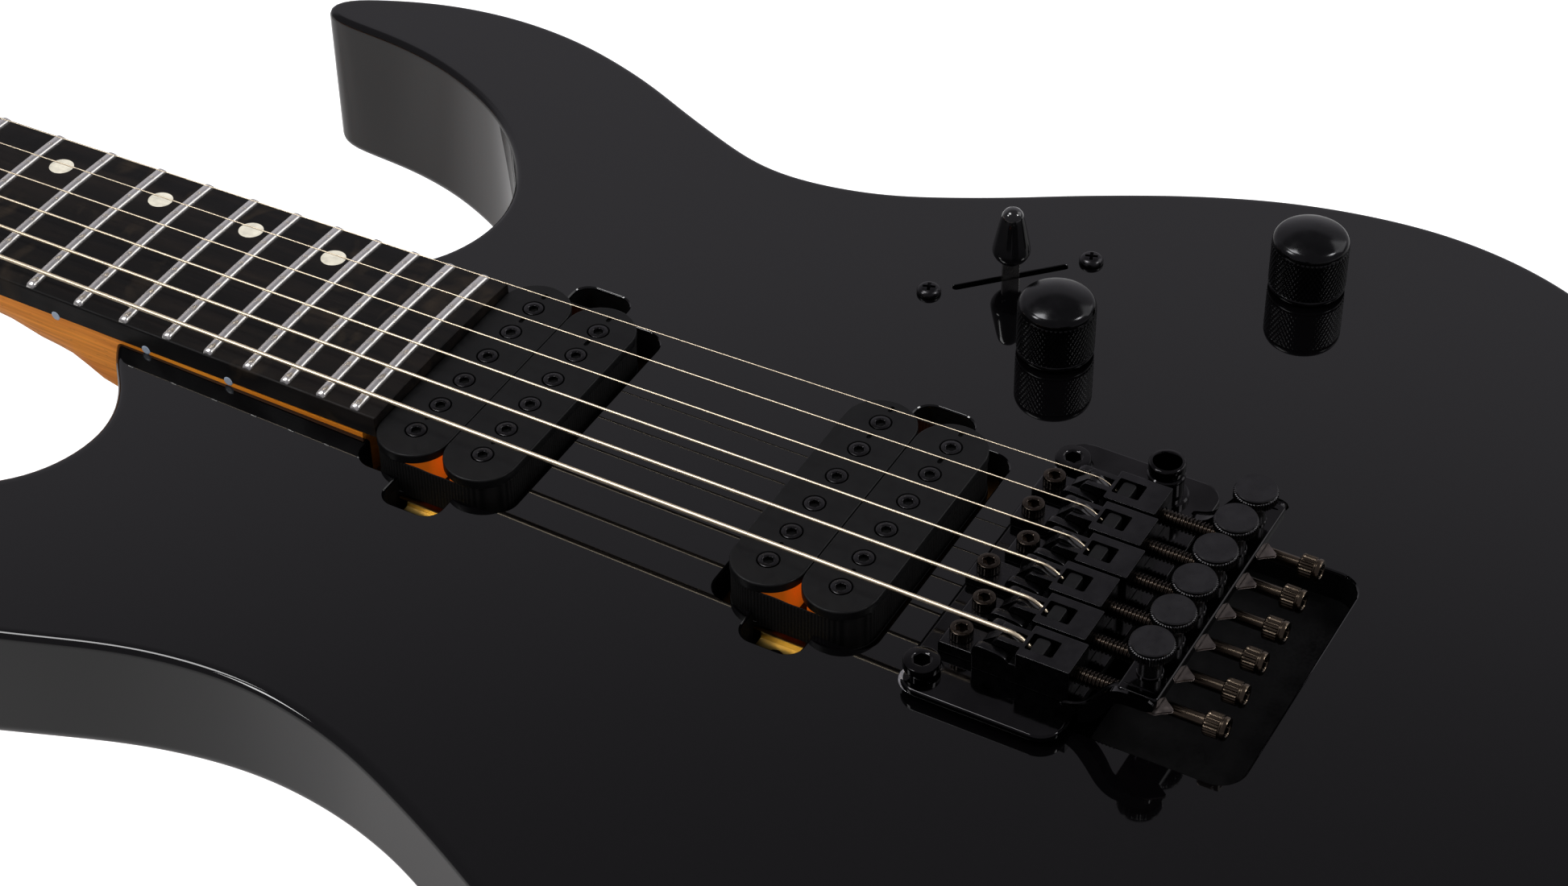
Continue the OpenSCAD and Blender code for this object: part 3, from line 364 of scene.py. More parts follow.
ALONG_X = Matrix(((0, 0, 1, 0), (1, 0, 0, 0), (0, 1, 0, 0), (0, 0, 0, 1)))
TO_TAIL = Matrix.Rotation(math.radians(90), 4, "X")
TO_HEAD = Matrix.Rotation(math.radians(-90), 4, "X")


def at(x, y, z, turn=0.0):
    """A place in the guitar's frame, turned about Z by some degrees."""
    return Matrix.Translation((x, y, z)) @ Matrix.Rotation(math.radians(turn), 4, "Z")


class Shape:
    """A mesh under construction."""

    def __init__(self):
        self.points = []
        self.faces = []

    def add(self, points, faces, place=Matrix()):
        start = len(self.points)
        self.points += [place @ Vector(p) for p in points]
        self.faces += [[start + i for i in face] for face in faces]
        return self

    def skin(self, rings, place=Matrix(), caps=True):
        """Joins rings that all have the same number of points."""
        n = len(rings[0])
        faces = []
        for k in range(len(rings) - 1):
            for i in range(n):
                j = (i + 1) % n
                faces.append([k * n + i, k * n + j, (k + 1) * n + j, (k + 1) * n + i])
        if caps:
            faces.append(list(range(n))[::-1])
            faces.append([(len(rings) - 1) * n + i for i in range(n)])
        return self.add([p for loop in rings for p in loop], faces, place)

    def lathe(self, profile, place=Matrix(), sides=48):
        """Turned form: each profile entry is (radius or function of the angle, z)."""
        return self.skin([ring(polar(r, sides), z) for r, z in profile], place)

    def slab(self, loop, z0, z1, edge=0.3, steps=3, place=Matrix(), low_edge=None):
        """A flat plate with rounded rims."""
        low = edge if low_edge is None else low_edge
        rings = []
        for k in range(steps + 1):
            a = math.radians(90 * k / steps)
            rings.append(ring(inset(loop, low * (1 - math.sin(a))), z0 + low * (1 - math.cos(a))))
        for k in range(steps + 1):
            a = math.radians(90 * k / steps)
            rings.append(ring(inset(loop, edge * (1 - math.cos(a))), z1 - edge * (1 - math.sin(a))))
        return self.skin(rings, place)

    def block(self, low, high, edge=0.3):
        """A rectangular block with rounded edges."""
        return self.slab(round_rect(low[0], low[1], high[0], high[1], edge, 2), low[2], high[2], edge, 2)

    def tube(self, path, radius, sides):
        """A round bar along a path; radius is a number or a function of the point's number."""
        path = [Vector(p) for p in path]
        rings = []
        side = None
        for k, p in enumerate(path):
            ahead = (path[min(k + 1, len(path) - 1)] - path[max(k - 1, 0)]).normalized()
            if side is None:
                side = ahead.orthogonal().normalized()
            side = (side - ahead * side.dot(ahead)).normalized()
            up = ahead.cross(side)
            r = radius(k) if callable(radius) else radius
            rings.append([p + r * (math.cos(a) * side + math.sin(a) * up)
                          for a in (2 * math.pi * i / sides for i in range(sides))])
        return self.skin(rings)


def mesh_object(name, shape):
    """A bare Blender object from a shape."""
    mesh = bpy.data.meshes.new(name)
    mesh.from_pydata([tuple(c * MM for c in p) for p in shape.points], [], shape.faces)
    bm = bmesh.new()
    bm.from_mesh(mesh)
    bmesh.ops.remove_doubles(bm, verts=bm.verts, dist=1e-7)
    bmesh.ops.recalc_face_normals(bm, faces=bm.faces)
    bm.to_mesh(mesh)
    bm.free()
    obj = bpy.data.objects.new(name, mesh)
    bpy.context.scene.collection.objects.link(obj)
    return obj


def applied(obj):
    """Turns an object's modifiers into mesh."""
    graph = bpy.context.evaluated_depsgraph_get()
    mesh = bpy.data.meshes.new_from_object(obj.evaluated_get(graph))
    obj.modifiers.clear()
    obj.data = mesh
    return obj


def carve(obj, cutter, operation="DIFFERENCE", own_crossings=False):
    """Cuts a shape out of an object, or joins it on."""
    tool = mesh_object("tool", cutter)
    modifier = obj.modifiers.new("carve", "BOOLEAN")
    modifier.object = tool
    modifier.operation = operation
    modifier.solver = "EXACT"
    modifier.use_self = own_crossings
    applied(obj)
    bpy.data.objects.remove(tool)
    return obj


def soften(obj, width, sharp):
    """Adds a bevel to the sharp edges; the width is in millimetres."""
    modifier = obj.modifiers.new("edges", "BEVEL")
    modifier.width = width * MM
    modifier.segments = 2
    modifier.limit_method = "ANGLE"
    modifier.angle_limit = math.radians(sharp)
    return modifier


def finish_piece(obj, slot, body="guitar", stands_for=(), bevel=0.0, sharp=35, look=None):
    """Gives a piece its material, soft shading, edges and the CAD body it rides on.

    The look is named only where it differs from that of the record's material slot.
    """
    mesh = obj.data
    mesh.materials.clear()
    mesh.materials.append(LOOKS[look or slot])
    mesh.polygons.foreach_set("use_smooth", [True] * len(mesh.polygons))
    mesh.set_sharp_from_angle(angle=math.radians(sharp))
    if bevel:
        soften(obj, bevel, sharp).harden_normals = True
    weighted = obj.modifiers.new("normals", "WEIGHTED_NORMAL")
    weighted.keep_sharp = True
    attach(obj, body)
    if stands_for:
        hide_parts(*stands_for)
    return obj


def piece(name, shape, slot, body="guitar", stands_for=(), **finish):
    """A finished piece straight from a shape."""
    return finish_piece(mesh_object(name, shape), slot, body, stands_for, **finish)


# ---- materials ----

LOOKS = {}


class Nodes:
    """A node tree under construction."""

    def __init__(self, tree):
        self.tree = tree

    def feed(self, socket, value):
        """Links a socket, or sets it to a plain value or colour."""
        if isinstance(value, bpy.types.NodeSocket):
            self.tree.links.new(value, socket)
        elif socket.type == "RGBA":
            socket.default_value = (*value, 1)
        else:
            socket.default_value = value

    def node(self, kind, settings=None, **inputs):
        made = self.tree.nodes.new(kind)
        for key, value in (settings or {}).items():
            setattr(made, key, value)
        for key, value in inputs.items():
            self.feed(made.inputs[key.replace("_", " ")], value)
        return made

    def ramp(self, value, low, high, to_low, to_high, shape="LINEAR"):
        """Maps a value's range to another, held at both ends."""
        made = self.node("ShaderNodeMapRange", {"interpolation_type": shape}, Value=value, From_Min=low,
                         From_Max=high, To_Min=to_low, To_Max=to_high)
        return made.outputs["Result"]

    def mix(self, factor, a, b):
        """Blends two colours."""
        made = self.node("ShaderNodeMix", {"data_type": "RGBA"})
        for number, value in ((0, factor), (6, a), (7, b)):
            self.feed(made.inputs[number], value)
        return made.outputs[2]

    def multiply(self, a, b):
        made = self.node("ShaderNodeMath", {"operation": "MULTIPLY"})
        for number, value in enumerate((a, b)):
            self.feed(made.inputs[number], value)
        return made.outputs[0]


class Look(Nodes):
    """A node material under construction."""

    def __init__(self, slot, color, roughness, metallic=0.0, coat=0.0, specular=0.5):
        material = bpy.data.materials.new(slot)
        material.use_nodes = True
        super().__init__(material.node_tree)
        self.bsdf = self.tree.nodes["Principled BSDF"]
        plain = {"Base Color": color, "Roughness": roughness, "Metallic": metallic, "Coat Weight": coat,
                 "Coat Roughness": 0.03, "Specular IOR Level": specular}
        for socket, value in plain.items():
            self.set(socket, value)
        self.place = self.node("ShaderNodeTexCoord").outputs["Object"]
        LOOKS[slot] = material

    def stretched(self, scale):
        """The object's coordinates, scaled along each axis."""
        return self.node("ShaderNodeMapping", Vector=self.place, Scale=scale).outputs[0]

    def noise(self, scale, detail=3.0, place=None, distortion=0.0):
        """Noise whose scale is in features a metre."""
        made = self.node("ShaderNodeTexNoise", Vector=place or self.place, Scale=scale, Detail=detail,
                         Distortion=distortion)
        return made.outputs["Fac"]

    def set(self, socket, value):
        self.feed(self.bsdf.inputs[socket], value)

    def bump(self, height, strength, distance_mm, under=None):
        """Raises the surface by a height pattern."""
        made = self.node("ShaderNodeBump", Height=height, Strength=strength, Distance=distance_mm * MM)
        if under is not None:
            self.feed(made.inputs["Normal"], under)
        return made.outputs["Normal"]


def worn_surface(slot, color, roughness, metallic=0.0, coat=0.0, cloud=60, grain=2500,
                 vary=0.25, uneven=0.3, bump=0.15, specular=0.5):
    """A plain finish with cloudy colour, uneven gloss and a fine grain."""
    look = Look(slot, color, roughness, metallic, coat, specular)
    clouds = look.noise(cloud, 4)
    fine = look.noise(grain, 2)
    dark = tuple(c * (1 - vary) for c in color)
    light = tuple(min(1, c * (1 + vary)) for c in color)
    look.set("Base Color", look.mix(look.ramp(clouds, 0.3, 0.7, 0, 1), dark, light))
    smears = look.noise(cloud * 3, 5)
    look.set("Roughness", look.ramp(smears, 0.3, 0.7, roughness * (1 - uneven), roughness * (1 + uneven)))
    look.set("Normal", look.bump(fine, bump, 0.02))


def lacquer():
    """Mirror-gloss black: a clear coat over near-black, with the faintest ripple."""
    look = Look("black_lacquer", (0.0012, 0.0011, 0.0013), 0.5, coat=1.0, specular=0.0)
    ripple = look.noise(9, 2)
    haze = look.ramp(look.noise(35, 4), 0.35, 0.75, 0.02, 0.05)
    look.set("Coat Roughness", haze)
    look.set("Base Color", look.mix(look.noise(900, 2), (0.0010, 0.0009, 0.0011), (0.0016, 0.0014, 0.0017)))
    look.set("Coat Normal", look.bump(ripple, 0.05, 0.5))


def roasted_maple():
    """Caramel maple: pores and rays along the neck, slow bands of colour."""
    look = Look("roasted_maple", (0.6, 0.3, 0.08), 0.42, specular=0.2)
    long_grain = look.noise(900, 6, look.stretched((1, 0.03, 1)), 0.4)
    bands = look.noise(130, 3, look.stretched((1, 0.12, 1.6)), 1.2)
    flecks = look.noise(1500, 2, look.stretched((1, 0.25, 1)))
    base = look.mix(look.ramp(bands, 0.3, 0.72, 0, 1), (0.74, 0.225, 0.014), (0.95, 0.34, 0.028))
    lined = look.mix(look.ramp(long_grain, 0.42, 0.66, 0, 0.6), base, (0.50, 0.135, 0.009))
    look.set("Base Color", look.mix(look.ramp(flecks, 0.66, 0.72, 0, 0.4), lined, (0.24, 0.07, 0.008)))
    look.set("Roughness", look.ramp(long_grain, 0.3, 0.7, 0.33, 0.5))
    look.set("Normal", look.bump(long_grain, 0.25, 0.05))


def ebony():
    """Near-black board with brown streaks, open pores and pale dust by the frets."""
    look = Look("ebony", (0.012, 0.010, 0.009), 0.45, specular=0.12)
    streaks = look.noise(260, 5, look.stretched((1, 0.05, 1)), 0.6)
    pores = look.noise(2600, 3, look.stretched((1, 0.06, 1)))
    worn = look.noise(55, 5, look.stretched((1, 1.4, 1)), 0.5)
    base = look.mix(look.ramp(streaks, 0.42, 0.75, 0, 1), (0.0035, 0.0031, 0.0032), (0.011, 0.008, 0.0064))
    dusty = look.mix(look.ramp(worn, 0.56, 0.8, 0, 0.6), base, (0.060, 0.042, 0.026))
    look.set("Base Color", look.mix(look.ramp(pores, 0.6, 0.72, 0, 0.8), dusty, (0.002, 0.002, 0.002)))
    look.set("Roughness", look.ramp(worn, 0.35, 0.7, 0.38, 0.62))
    look.set("Normal", look.bump(pores, 0.3, 0.06))


def cloth_tape():
    """Black cloth tape wound round the coils, with fine upright ribs."""
    look = Look("cloth_tape", (0.008, 0.008, 0.008), 0.6, specular=0.2)
    ribs = look.node("ShaderNodeTexWave", {"wave_type": "BANDS", "bands_direction": "DIAGONAL"},
                     Vector=look.stretched((1, 1, 0)), Scale=750.0, Distortion=0.4, Detail=2.0)
    weave = look.noise(2200, 3)
    look.set("Base Color", look.mix(ribs.outputs["Fac"], (0.0008, 0.0008, 0.0008), (0.0055, 0.005, 0.0048)))
    look.set("Roughness", look.ramp(weave, 0.3, 0.7, 0.6, 0.9))
    look.set("Normal", look.bump(ribs.outputs["Fac"], 0.6, 0.12, look.bump(weave, 0.4, 0.05)))


def copper_coil():
    """Fine enamelled wire wound in level turns, with a faint painted glow."""
    look = Look("copper_coil", (0.75, 0.22, 0.04), 0.3, 0.9)
    # painted glow: a faint orange emission, though the coil is no lamp, so that it reads bright in the shaded
    # gap between the bobbins
    look.set("Emission Color", (1.0, 0.20, 0.01))
    look.set("Emission Strength", 0.22)
    turns = look.node("ShaderNodeTexWave", {"wave_type": "BANDS", "bands_direction": "Z"},
                      Vector=look.place, Scale=1600.0, Distortion=0.2)
    look.set("Base Color", look.mix(turns.outputs["Fac"], (0.50, 0.10, 0.010), (1.0, 0.34, 0.045)))
    look.set("Normal", look.bump(turns.outputs["Fac"], 0.5, 0.05))


def string_steel():
    """Nickel-plated wire with a warm cast."""
    look = Look("string_steel", (0.86, 0.80, 0.70), 0.26, 1.0)
    tarnish = look.noise(700, 4)
    shade = look.ramp(tarnish, 0.3, 0.75, 0, 1)
    look.set("Base Color", look.mix(shade, (0.82, 0.69, 0.50), (0.90, 0.77, 0.58)))
    look.set("Roughness", look.ramp(tarnish, 0.3, 0.7, 0.34, 0.4))


def brass_plate():
    """Brass, bright by the ears where they leave the coils, partly its own colour and partly a painted glint;
    painted dark brown elsewhere as painted shade, for the rest of the plate lies in the routes' shadow.
    """
    look = Look("brass_plate", (0.72, 0.50, 0.16), 0.26, 1.0)
    along = look.node("ShaderNodeSeparateXYZ", Vector=look.place).outputs["X"]
    out = look.node("ShaderNodeMath", {"operation": "ABSOLUTE"}, Value=along).outputs[0]
    rise = look.ramp(out, 0.0350, 0.0356, 0, 1)
    fall = look.ramp(out, 0.0362, 0.0382, 1, 0)
    blotches = look.ramp(look.noise(240, 4), 0.35, 0.7, 0, 1)
    # painted shade: away from the ear band the plate is dark brown, standing for the shadow in the routes
    painted_rout_shade = look.mix(blotches, (0.03, 0.014, 0.004), (0.075, 0.035, 0.008))
    look.set("Base Color", look.mix(look.multiply(rise, fall), painted_rout_shade, (0.95, 0.68, 0.22)))
    look.set("Roughness", look.ramp(look.noise(500, 3), 0.3, 0.7, 0.28, 0.42))


def make_looks():
    """Every material, under the name of its slot or look."""
    lacquer()
    roasted_maple()
    ebony()
    cloth_tape()
    copper_coil()
    string_steel()
    worn_surface("fret_nickel", (0.88, 0.86, 0.83), 0.28, 1.0, cloud=250, vary=0.04, uneven=0.12, bump=0.04)
    worn_surface("cream_inlay", (0.72, 0.68, 0.56), 0.35, 0.0, 0.3, cloud=500, vary=0.14)
    worn_surface("side_dot", (0.35, 0.42, 0.52), 0.35, 0.0, 0.3, cloud=900, vary=0.1)
    worn_surface("black_hardware", (0.040, 0.039, 0.041), 0.24, 1.0, cloud=160, vary=0.2,
                 uneven=0.3, bump=0.04)
    worn_surface("gloss_hardware", (0.030, 0.029, 0.030), 0.09, 1.0, cloud=120, vary=0.2,
                 uneven=0.4, bump=0.03)
    worn_surface("dark_nickel", (0.098, 0.076, 0.056), 0.22, 1.0, cloud=150, vary=0.2, uneven=0.3, bump=0.03)
    worn_surface("tuner_black", (0.052, 0.051, 0.053), 0.3, 1.0, cloud=220, vary=0.12, uneven=0.25, bump=0.04)
    worn_surface("bronzed_black", (0.055, 0.044, 0.036), 0.22, 1.0, cloud=300, vary=0.2,
                 uneven=0.3, bump=0.04)
    worn_surface("leaf_steel", (0.24, 0.205, 0.19), 0.38, 1.0, cloud=300, vary=0.15, bump=0.04)
    worn_surface("cavity_paint", (0.0022, 0.0021, 0.0022), 0.6, cloud=400, vary=0.4, grain=1500, bump=0.4,
                 specular=0.12)
    worn_surface("satin_black_plastic", (0.0034, 0.0034, 0.0036), 0.46, cloud=220, vary=0.2, grain=4200,
                 bump=0.3, specular=0.2)
    worn_surface("gloss_black_plastic", (0.004, 0.004, 0.0045), 0.12, 0.0, 0.6, cloud=120, bump=0.02)
    worn_surface("black_knob", (0.031, 0.031, 0.032), 0.17, 1.0, cloud=160, vary=0.2, bump=0.08)
    brass_plate()
    worn_surface("zinc", (0.50, 0.50, 0.52), 0.33, 1.0, cloud=140, vary=0.15)
    worn_surface("bare_steel", (0.46, 0.45, 0.43), 0.28, 1.0, cloud=160, vary=0.2)


make_looks()


def dress(node, slot):
    """Keeps a CAD node, with softened edges and a material."""
    obj = frame["nodes"][node]
    obj.data.materials.clear()
    obj.data.materials.append(LOOKS[slot])
    weld = obj.modifiers.new("weld", "WELD")
    weld.merge_threshold = 1e-6
    soften(obj, 0.2, 35)
    smooth = obj.modifiers.new("normals", "WEIGHTED_NORMAL")
    smooth.keep_sharp = False


# ---- body ----


def top_height(x, y):
    """Height of the playing face, which rolls away under the forearm."""
    past = x * math.cos(BEVEL_ANGLE) + y * math.sin(BEVEL_ANGLE) - BEVEL_START
    if past <= 0:
        return BODY_T
    return BODY_T - BEVEL_R + math.sqrt(BEVEL_R**2 - past**2)


def back_height(x, y):
    """Height of the back, which is scooped behind the bass-side waist."""
    dx, dy = x - SCOOP_AT.x, y - SCOOP_AT.y
    across = -dx * math.sin(SCOOP_TURN) + dy * math.cos(SCOOP_TURN)
    ramp = across * math.tan(SCOOP_SLOPE)
    hollow = (-55 - x) * math.tan(SCOOP_TILT) - (y - 75) ** 2 / 1800 / math.cos(SCOOP_TILT)
    soft = 5
    if ramp < -soft or hollow < -soft:
        return 0.0
    blend = max(0, 1 - abs(ramp - hollow) / soft)
    depth = min(ramp, hollow) - blend**2 * soft / 4
    if depth < -soft:
        return 0.0
    if depth < soft:
        return (depth + soft) ** 2 / (4 * soft)
    return depth


def body_outline():
    """The plan of the body, without the openings of the neck pocket and the jack."""
    low = section("body", 26)[0]
    high = section("body", 34)[0]

    def near_jack(p):
        return p.x > 40 and p.y < 100

    def chain(loop, wanted):
        first = next(i for i in range(len(loop)) if wanted(loop[i]) and not wanted(loop[i - 1]))
        turned = loop[first:] + loop[:first]
        return [p for p in turned if wanted(p)]

    return chain(low, lambda p: not near_jack(p)) + chain(high, near_jack)


def cut_strips(bm, faces, direction, start, end, step):
    """Cuts flat faces of the body into strips across a direction, so that they can bend."""
    normal = direction.to_3d()
    where = start
    while where < end:
        points = {v for f in faces for v in f.verts}
        edges = {e for f in faces for e in f.edges}
        made = bmesh.ops.bisect_plane(bm, geom=[*points, *edges, *faces], plane_co=normal * (where * MM),
                                      plane_no=normal)
        faces = [item for item in made["geom"] if isinstance(item, bmesh.types.BMFace)]
        where += step
    return faces


def drape(faces, height):
    """Moves the points of faces to a height that is a function of x and y."""
    for vert in {v for f in faces for v in f.verts}:
        vert.co.z = height(vert.co.x / MM, vert.co.y / MM) * MM


def body_block(outline):
    """The uncut body, with rounded edges, forearm bevel and belly scoop."""
    steps = 6
    rings = []
    for k in range(-1, steps + 1):
        a = math.radians(90 * max(k, 0) / steps)
        d = BACK_EDGE * (1 - math.sin(a)) + (1.5 if k < 0 else 0)
        rise = BACK_EDGE * (1 - math.cos(a))
        rings.append(ring(inset(outline, d), lambda x, y: back_height(x, y) + rise))
    for k in range(steps + 2):
        a = math.radians(90 * min(k, steps) / steps)
        d = TOP_EDGE * (1 - math.cos(a)) + (1.0 if k > steps else 0)
        fall = TOP_EDGE * (1 - math.sin(a))
        rings.append(ring(inset(outline, d), lambda x, y: top_height(x, y) - fall))
    obj = mesh_object("body_shell", Shape().skin(rings))
    bm = bmesh.new()
    bm.from_mesh(obj.data)
    bm.faces.ensure_lookup_table()
    back, top = bm.faces[-2], bm.faces[-1]
    bevel = Vector((math.cos(BEVEL_ANGLE), math.sin(BEVEL_ANGLE)))
    drape(cut_strips(bm, [top], bevel, BEVEL_START, 190, 5), top_height)
    uphill = Vector((-math.sin(SCOOP_TURN), math.cos(SCOOP_TURN)))
    across = Vector((math.cos(SCOOP_TURN), math.sin(SCOOP_TURN)))
    start = SCOOP_AT.dot(uphill) - 8
    strips = cut_strips(bm, [back], uphill, start, start + 170, 5)
    scooped = [f for f in strips if (f.calc_center_median() / MM).xy.dot(uphill) > start]
    drape(cut_strips(bm, scooped, across, -160, 160, 8), back_height)
    bm.to_mesh(obj.data)
    bm.free()
    return obj


def pocket(cutter, loop, z_floor, z_open, edge):
    """Adds a cavity to a cutter. Its mouth is at z_open and has a rounded lip."""
    up = 1 if z_open > z_floor else -1
    rings = [ring(loop, z_floor)]
    if edge:
        for degrees in (0, 25, 50, 75):
            a = math.radians(degrees)
            z = z_open - up * edge * (1 - math.sin(a))
            rings.append(ring(inset(loop, -edge * (1 - math.cos(a))), z))
    rings.append(ring(inset(loop, -edge), z_open + up * 0.2))
    if up < 0:
        rings.reverse()
    cutter.skin(rings)


def body():
    """The body with all its cavities; the inside of the routes is matt."""
    outline = relaxed(spline(body_outline(), 2.6), 6)
    obj = body_block(outline)
    level = {z: section("body", z) for z in (1, 8, 25, 34, 40)}
    pickup_spots = [middle.y for middle in centres("pickup_baseplates")]
    volume, tone, selector = pivot("volume_turn"), pivot("tone_turn"), pivot("selector_swing")
    wide = Shape()
    for y in pickup_spots:
        pocket(wide, loop_round(level[25], 0, y), BODY_T - 20, BODY_T, 0.6)
    pocket(wide, loop_round(level[40], *TUNER_RECESS), BODY_T - 8, BODY_T, 0.8)
    for post in centres("pivot_posts"):
        pocket(wide, loop_round(level[40], post.x, post.y), BODY_T - 24, BODY_T, 0.15)
    pocket(wide, loop_round(level[40], selector.x, selector.y), BODY_T - 7, BODY_T, 0.25)
    for knob in (volume, tone):
        pocket(wide, loop_round(level[40], knob.x, knob.y), BODY_T - 7, BODY_T, 0.3)
    pocket(wide, loop_round(level[1], *SPRING_CAVITY), 2, 0, 0.4)
    pocket(wide, loop_round(level[1], *CONTROL_CAVITY), 2, 0, 0.4)
    for middle in centres("neck_ferrules"):
        rim = [Vector((p.x + middle.x, p.y + middle.y)) for p in polar(7.55, 48)]
        pocket(wide, rim, 3.5, 0, 0.3)
    carve(obj, wide)
    deep = Shape()
    pocket(deep, loop_round(level[25], *BLOCK_HOLE), 15, BODY_T - 7.9, 0)
    pocket(deep, loop_round(level[8], *SPRING_CAVITY), 16, 0.5, 0)
    pocket(deep, loop_round(level[34], *CONTROL_CAVITY), BODY_T - 6, 0.5, 0)
    half = BOARD_END_W / 2 + 0.02
    taper = (BOARD_END_W - NUT_W) / 2 / BOARD_L
    plan = [(-half, 1), (half, 1), (half - 130 * taper, 130), (-half + 130 * taper, 130)]
    deep.skin([[(x, y, z) for x, y in plan] for z in (-17.7, 8)], NECK_FRAME)
    carve(obj, deep, own_crossings=True)
    mouth, axis = mount("plug_socket")
    mouth -= 3 * axis
    place = Matrix.Translation(mouth) @ Vector((0, 0, 1)).rotation_difference(axis).to_matrix().to_4x4()
    socket = Shape().lathe([(7.05, -44), (7.05, 0.01), (11, 0.01), (11, 30)], place)
    carve(obj, socket)
    finish_piece(obj, "black_lacquer", stands_for=["body"], sharp=32)
    routes = [inset(loop_round(level[25], 0, y), -0.4) for y in pickup_spots]
    routes.append(inset(loop_round(level[40], *TUNER_RECESS), -0.4))
    routes.append(inset(loop_round(level[25], *BLOCK_HOLE), -0.4))
    obj.data.materials.append(LOOKS["cavity_paint"])
    for face in obj.data.polygons:
        spot = face.center / MM
        if spot.z < BODY_T - 1.2 and face.normal.z > -0.5:
            face.material_index = int(any(holds(loop, spot.x, spot.y) for loop in routes))


body()


# ---- neck ----


def board_half(y):
    """Half the width of the fretboard at a distance from its body end."""
    return BOARD_END_W / 2 - (BOARD_END_W - NUT_W) / 2 * y / BOARD_L


def crown(x):
    """Height of the fretboard's arched top."""
    return BOARD_H - BOARD_RADIUS + math.sqrt(BOARD_RADIUS**2 - x * x)


def fret_at(n):
    """Distance of a fret from the body end of the board."""
    return SCALE_LENGTH * 2 ** (-n / 12) - BOARD_LOW.y


def smooth_step(t):
    """A gentle ramp from 0 to 1."""
    t = min(1, max(0, t))
    return t * t * (3 - 2 * t)


def neck():
    """Maple heel, shaft and headstock in one piece."""
    # Distance along the neck, depth, and the section's power: boxy near 0, an ellipse at 1
    keys = [(4, 17.7, 0.10), (78, 17.7, 0.12), (97, 16.2, 0.5), (116, 15.1, 0.75), (493, 13.5, 0.75),
            (504, 13.8, 0.5), (518, 13.9, 0.25)]
    rings = []
    for (y0, t0, q0), (y1, t1, q1) in zip(keys, keys[1:]):
        steps = max(2, round((y1 - y0) / 5))
        for k in range(steps):
            f = smooth_step(k / steps)
            y = y0 + (y1 - y0) * k / steps
            depth, power = t0 + (t1 - t0) * f, q0 + (q1 - q0) * f
            half = board_half(min(y, BOARD_L)) - 0.02
            points = []
            for i in range(33):
                a = math.pi + math.pi * i / 32
                c, v = math.cos(a), math.sin(a)
                points.append((half * math.copysign(abs(c) ** power, c), y, -depth * abs(v) ** power))
            rings.append(points)
    obj = mesh_object("neck_wood", Shape().skin(rings, NECK_FRAME))
    plan = [p for p in section("neck", BODY_T - 11)[0] if p.y > BOARD_LOW.y + BOARD_L + 6]
    plan = [Vector((p.x, p.y - BOARD_LOW.y)) for p in plan]
    head = Shape().slab(relaxed(spline(plan, 2.5), 3), -HEAD_T, 0, 1.8, 4, NECK_FRAME)
    carve(obj, head, "UNION")
    holes = Shape()
    for middle in centres("tuner_bushings"):
        spot = NECK_FRAME.inverted() @ middle
        holes.lathe([(5.02, -HEAD_T - 2), (5.02, 2)], NECK_FRAME @ at(spot.x, spot.y, 0), 32)
    carve(obj, holes)
    finish_piece(obj, "roasted_maple", stands_for=["neck"], sharp=40)


def fretboard():
    """Ebony board with a crowned top and softened edges."""
    rings = []
    edge = 0.6
    for y in [0, 0.25] + [BOARD_L * k / 12 for k in range(1, 12)] + [BOARD_L - 0.02]:
        half = board_half(y) - (0.25 if y == 0 else 0)
        lift = 0.25 if y == 0 else 0
        points = [(-half, y, 0), (half, y, 0)]
        rim = crown(half) - lift - edge
        for k in range(4):
            a = math.radians(30 * k)
            points.append((half - edge + edge * math.cos(a), y, rim + edge * math.sin(a)))
        for k in range(1, 24):
            x = (half - edge) * (1 - 2 * k / 24)
            points.append((x, y, crown(x) - lift))
        for k in range(3, -1, -1):
            a = math.radians(30 * k)
            points.append((-half + edge - edge * math.cos(a), y, rim + edge * math.sin(a)))
        rings.append(points)
    piece("fingerboard", Shape().skin(rings, NECK_FRAME), "ebony", stands_for=["fretboard"], sharp=50)


def frets():
    """Crowned fret wires with rounded ends."""
    shape = Shape()
    for n in range(1, FRET_COUNT + 1):
        y0 = fret_at(n)
        half = board_half(y0) - 0.35
        ends = [(0, 0.12, 0.75), (0.18, 0.5, 0.9), (0.5, 0.82, 1), (1.1, 1, 1)]
        spots = [(-half + d, h, w) for d, h, w in ends]
        spots += [(-half + 1.1 + (2 * half - 2.2) * k / 14, 1, 1) for k in range(1, 14)]
        spots += [(half - d, h, w) for d, h, w in ends[::-1]]
        rings = []
        for x, height, width in spots:
            reach = FRET_W / 2 * width
            points = [(x, y0 + reach, crown(x) - 0.3), (x, y0 - reach, crown(x) - 0.3)]
            for k in range(11):
                a = math.pi - math.pi * k / 10
                lift = FRET_H * height * math.sin(a) ** 0.75
                points.append((x, y0 + reach * math.cos(a), crown(x) + lift))
            rings.append(points)
        shape.skin(rings, NECK_FRAME)
    piece("fret_wires", shape, "fret_nickel", stands_for=["frets"], sharp=70)


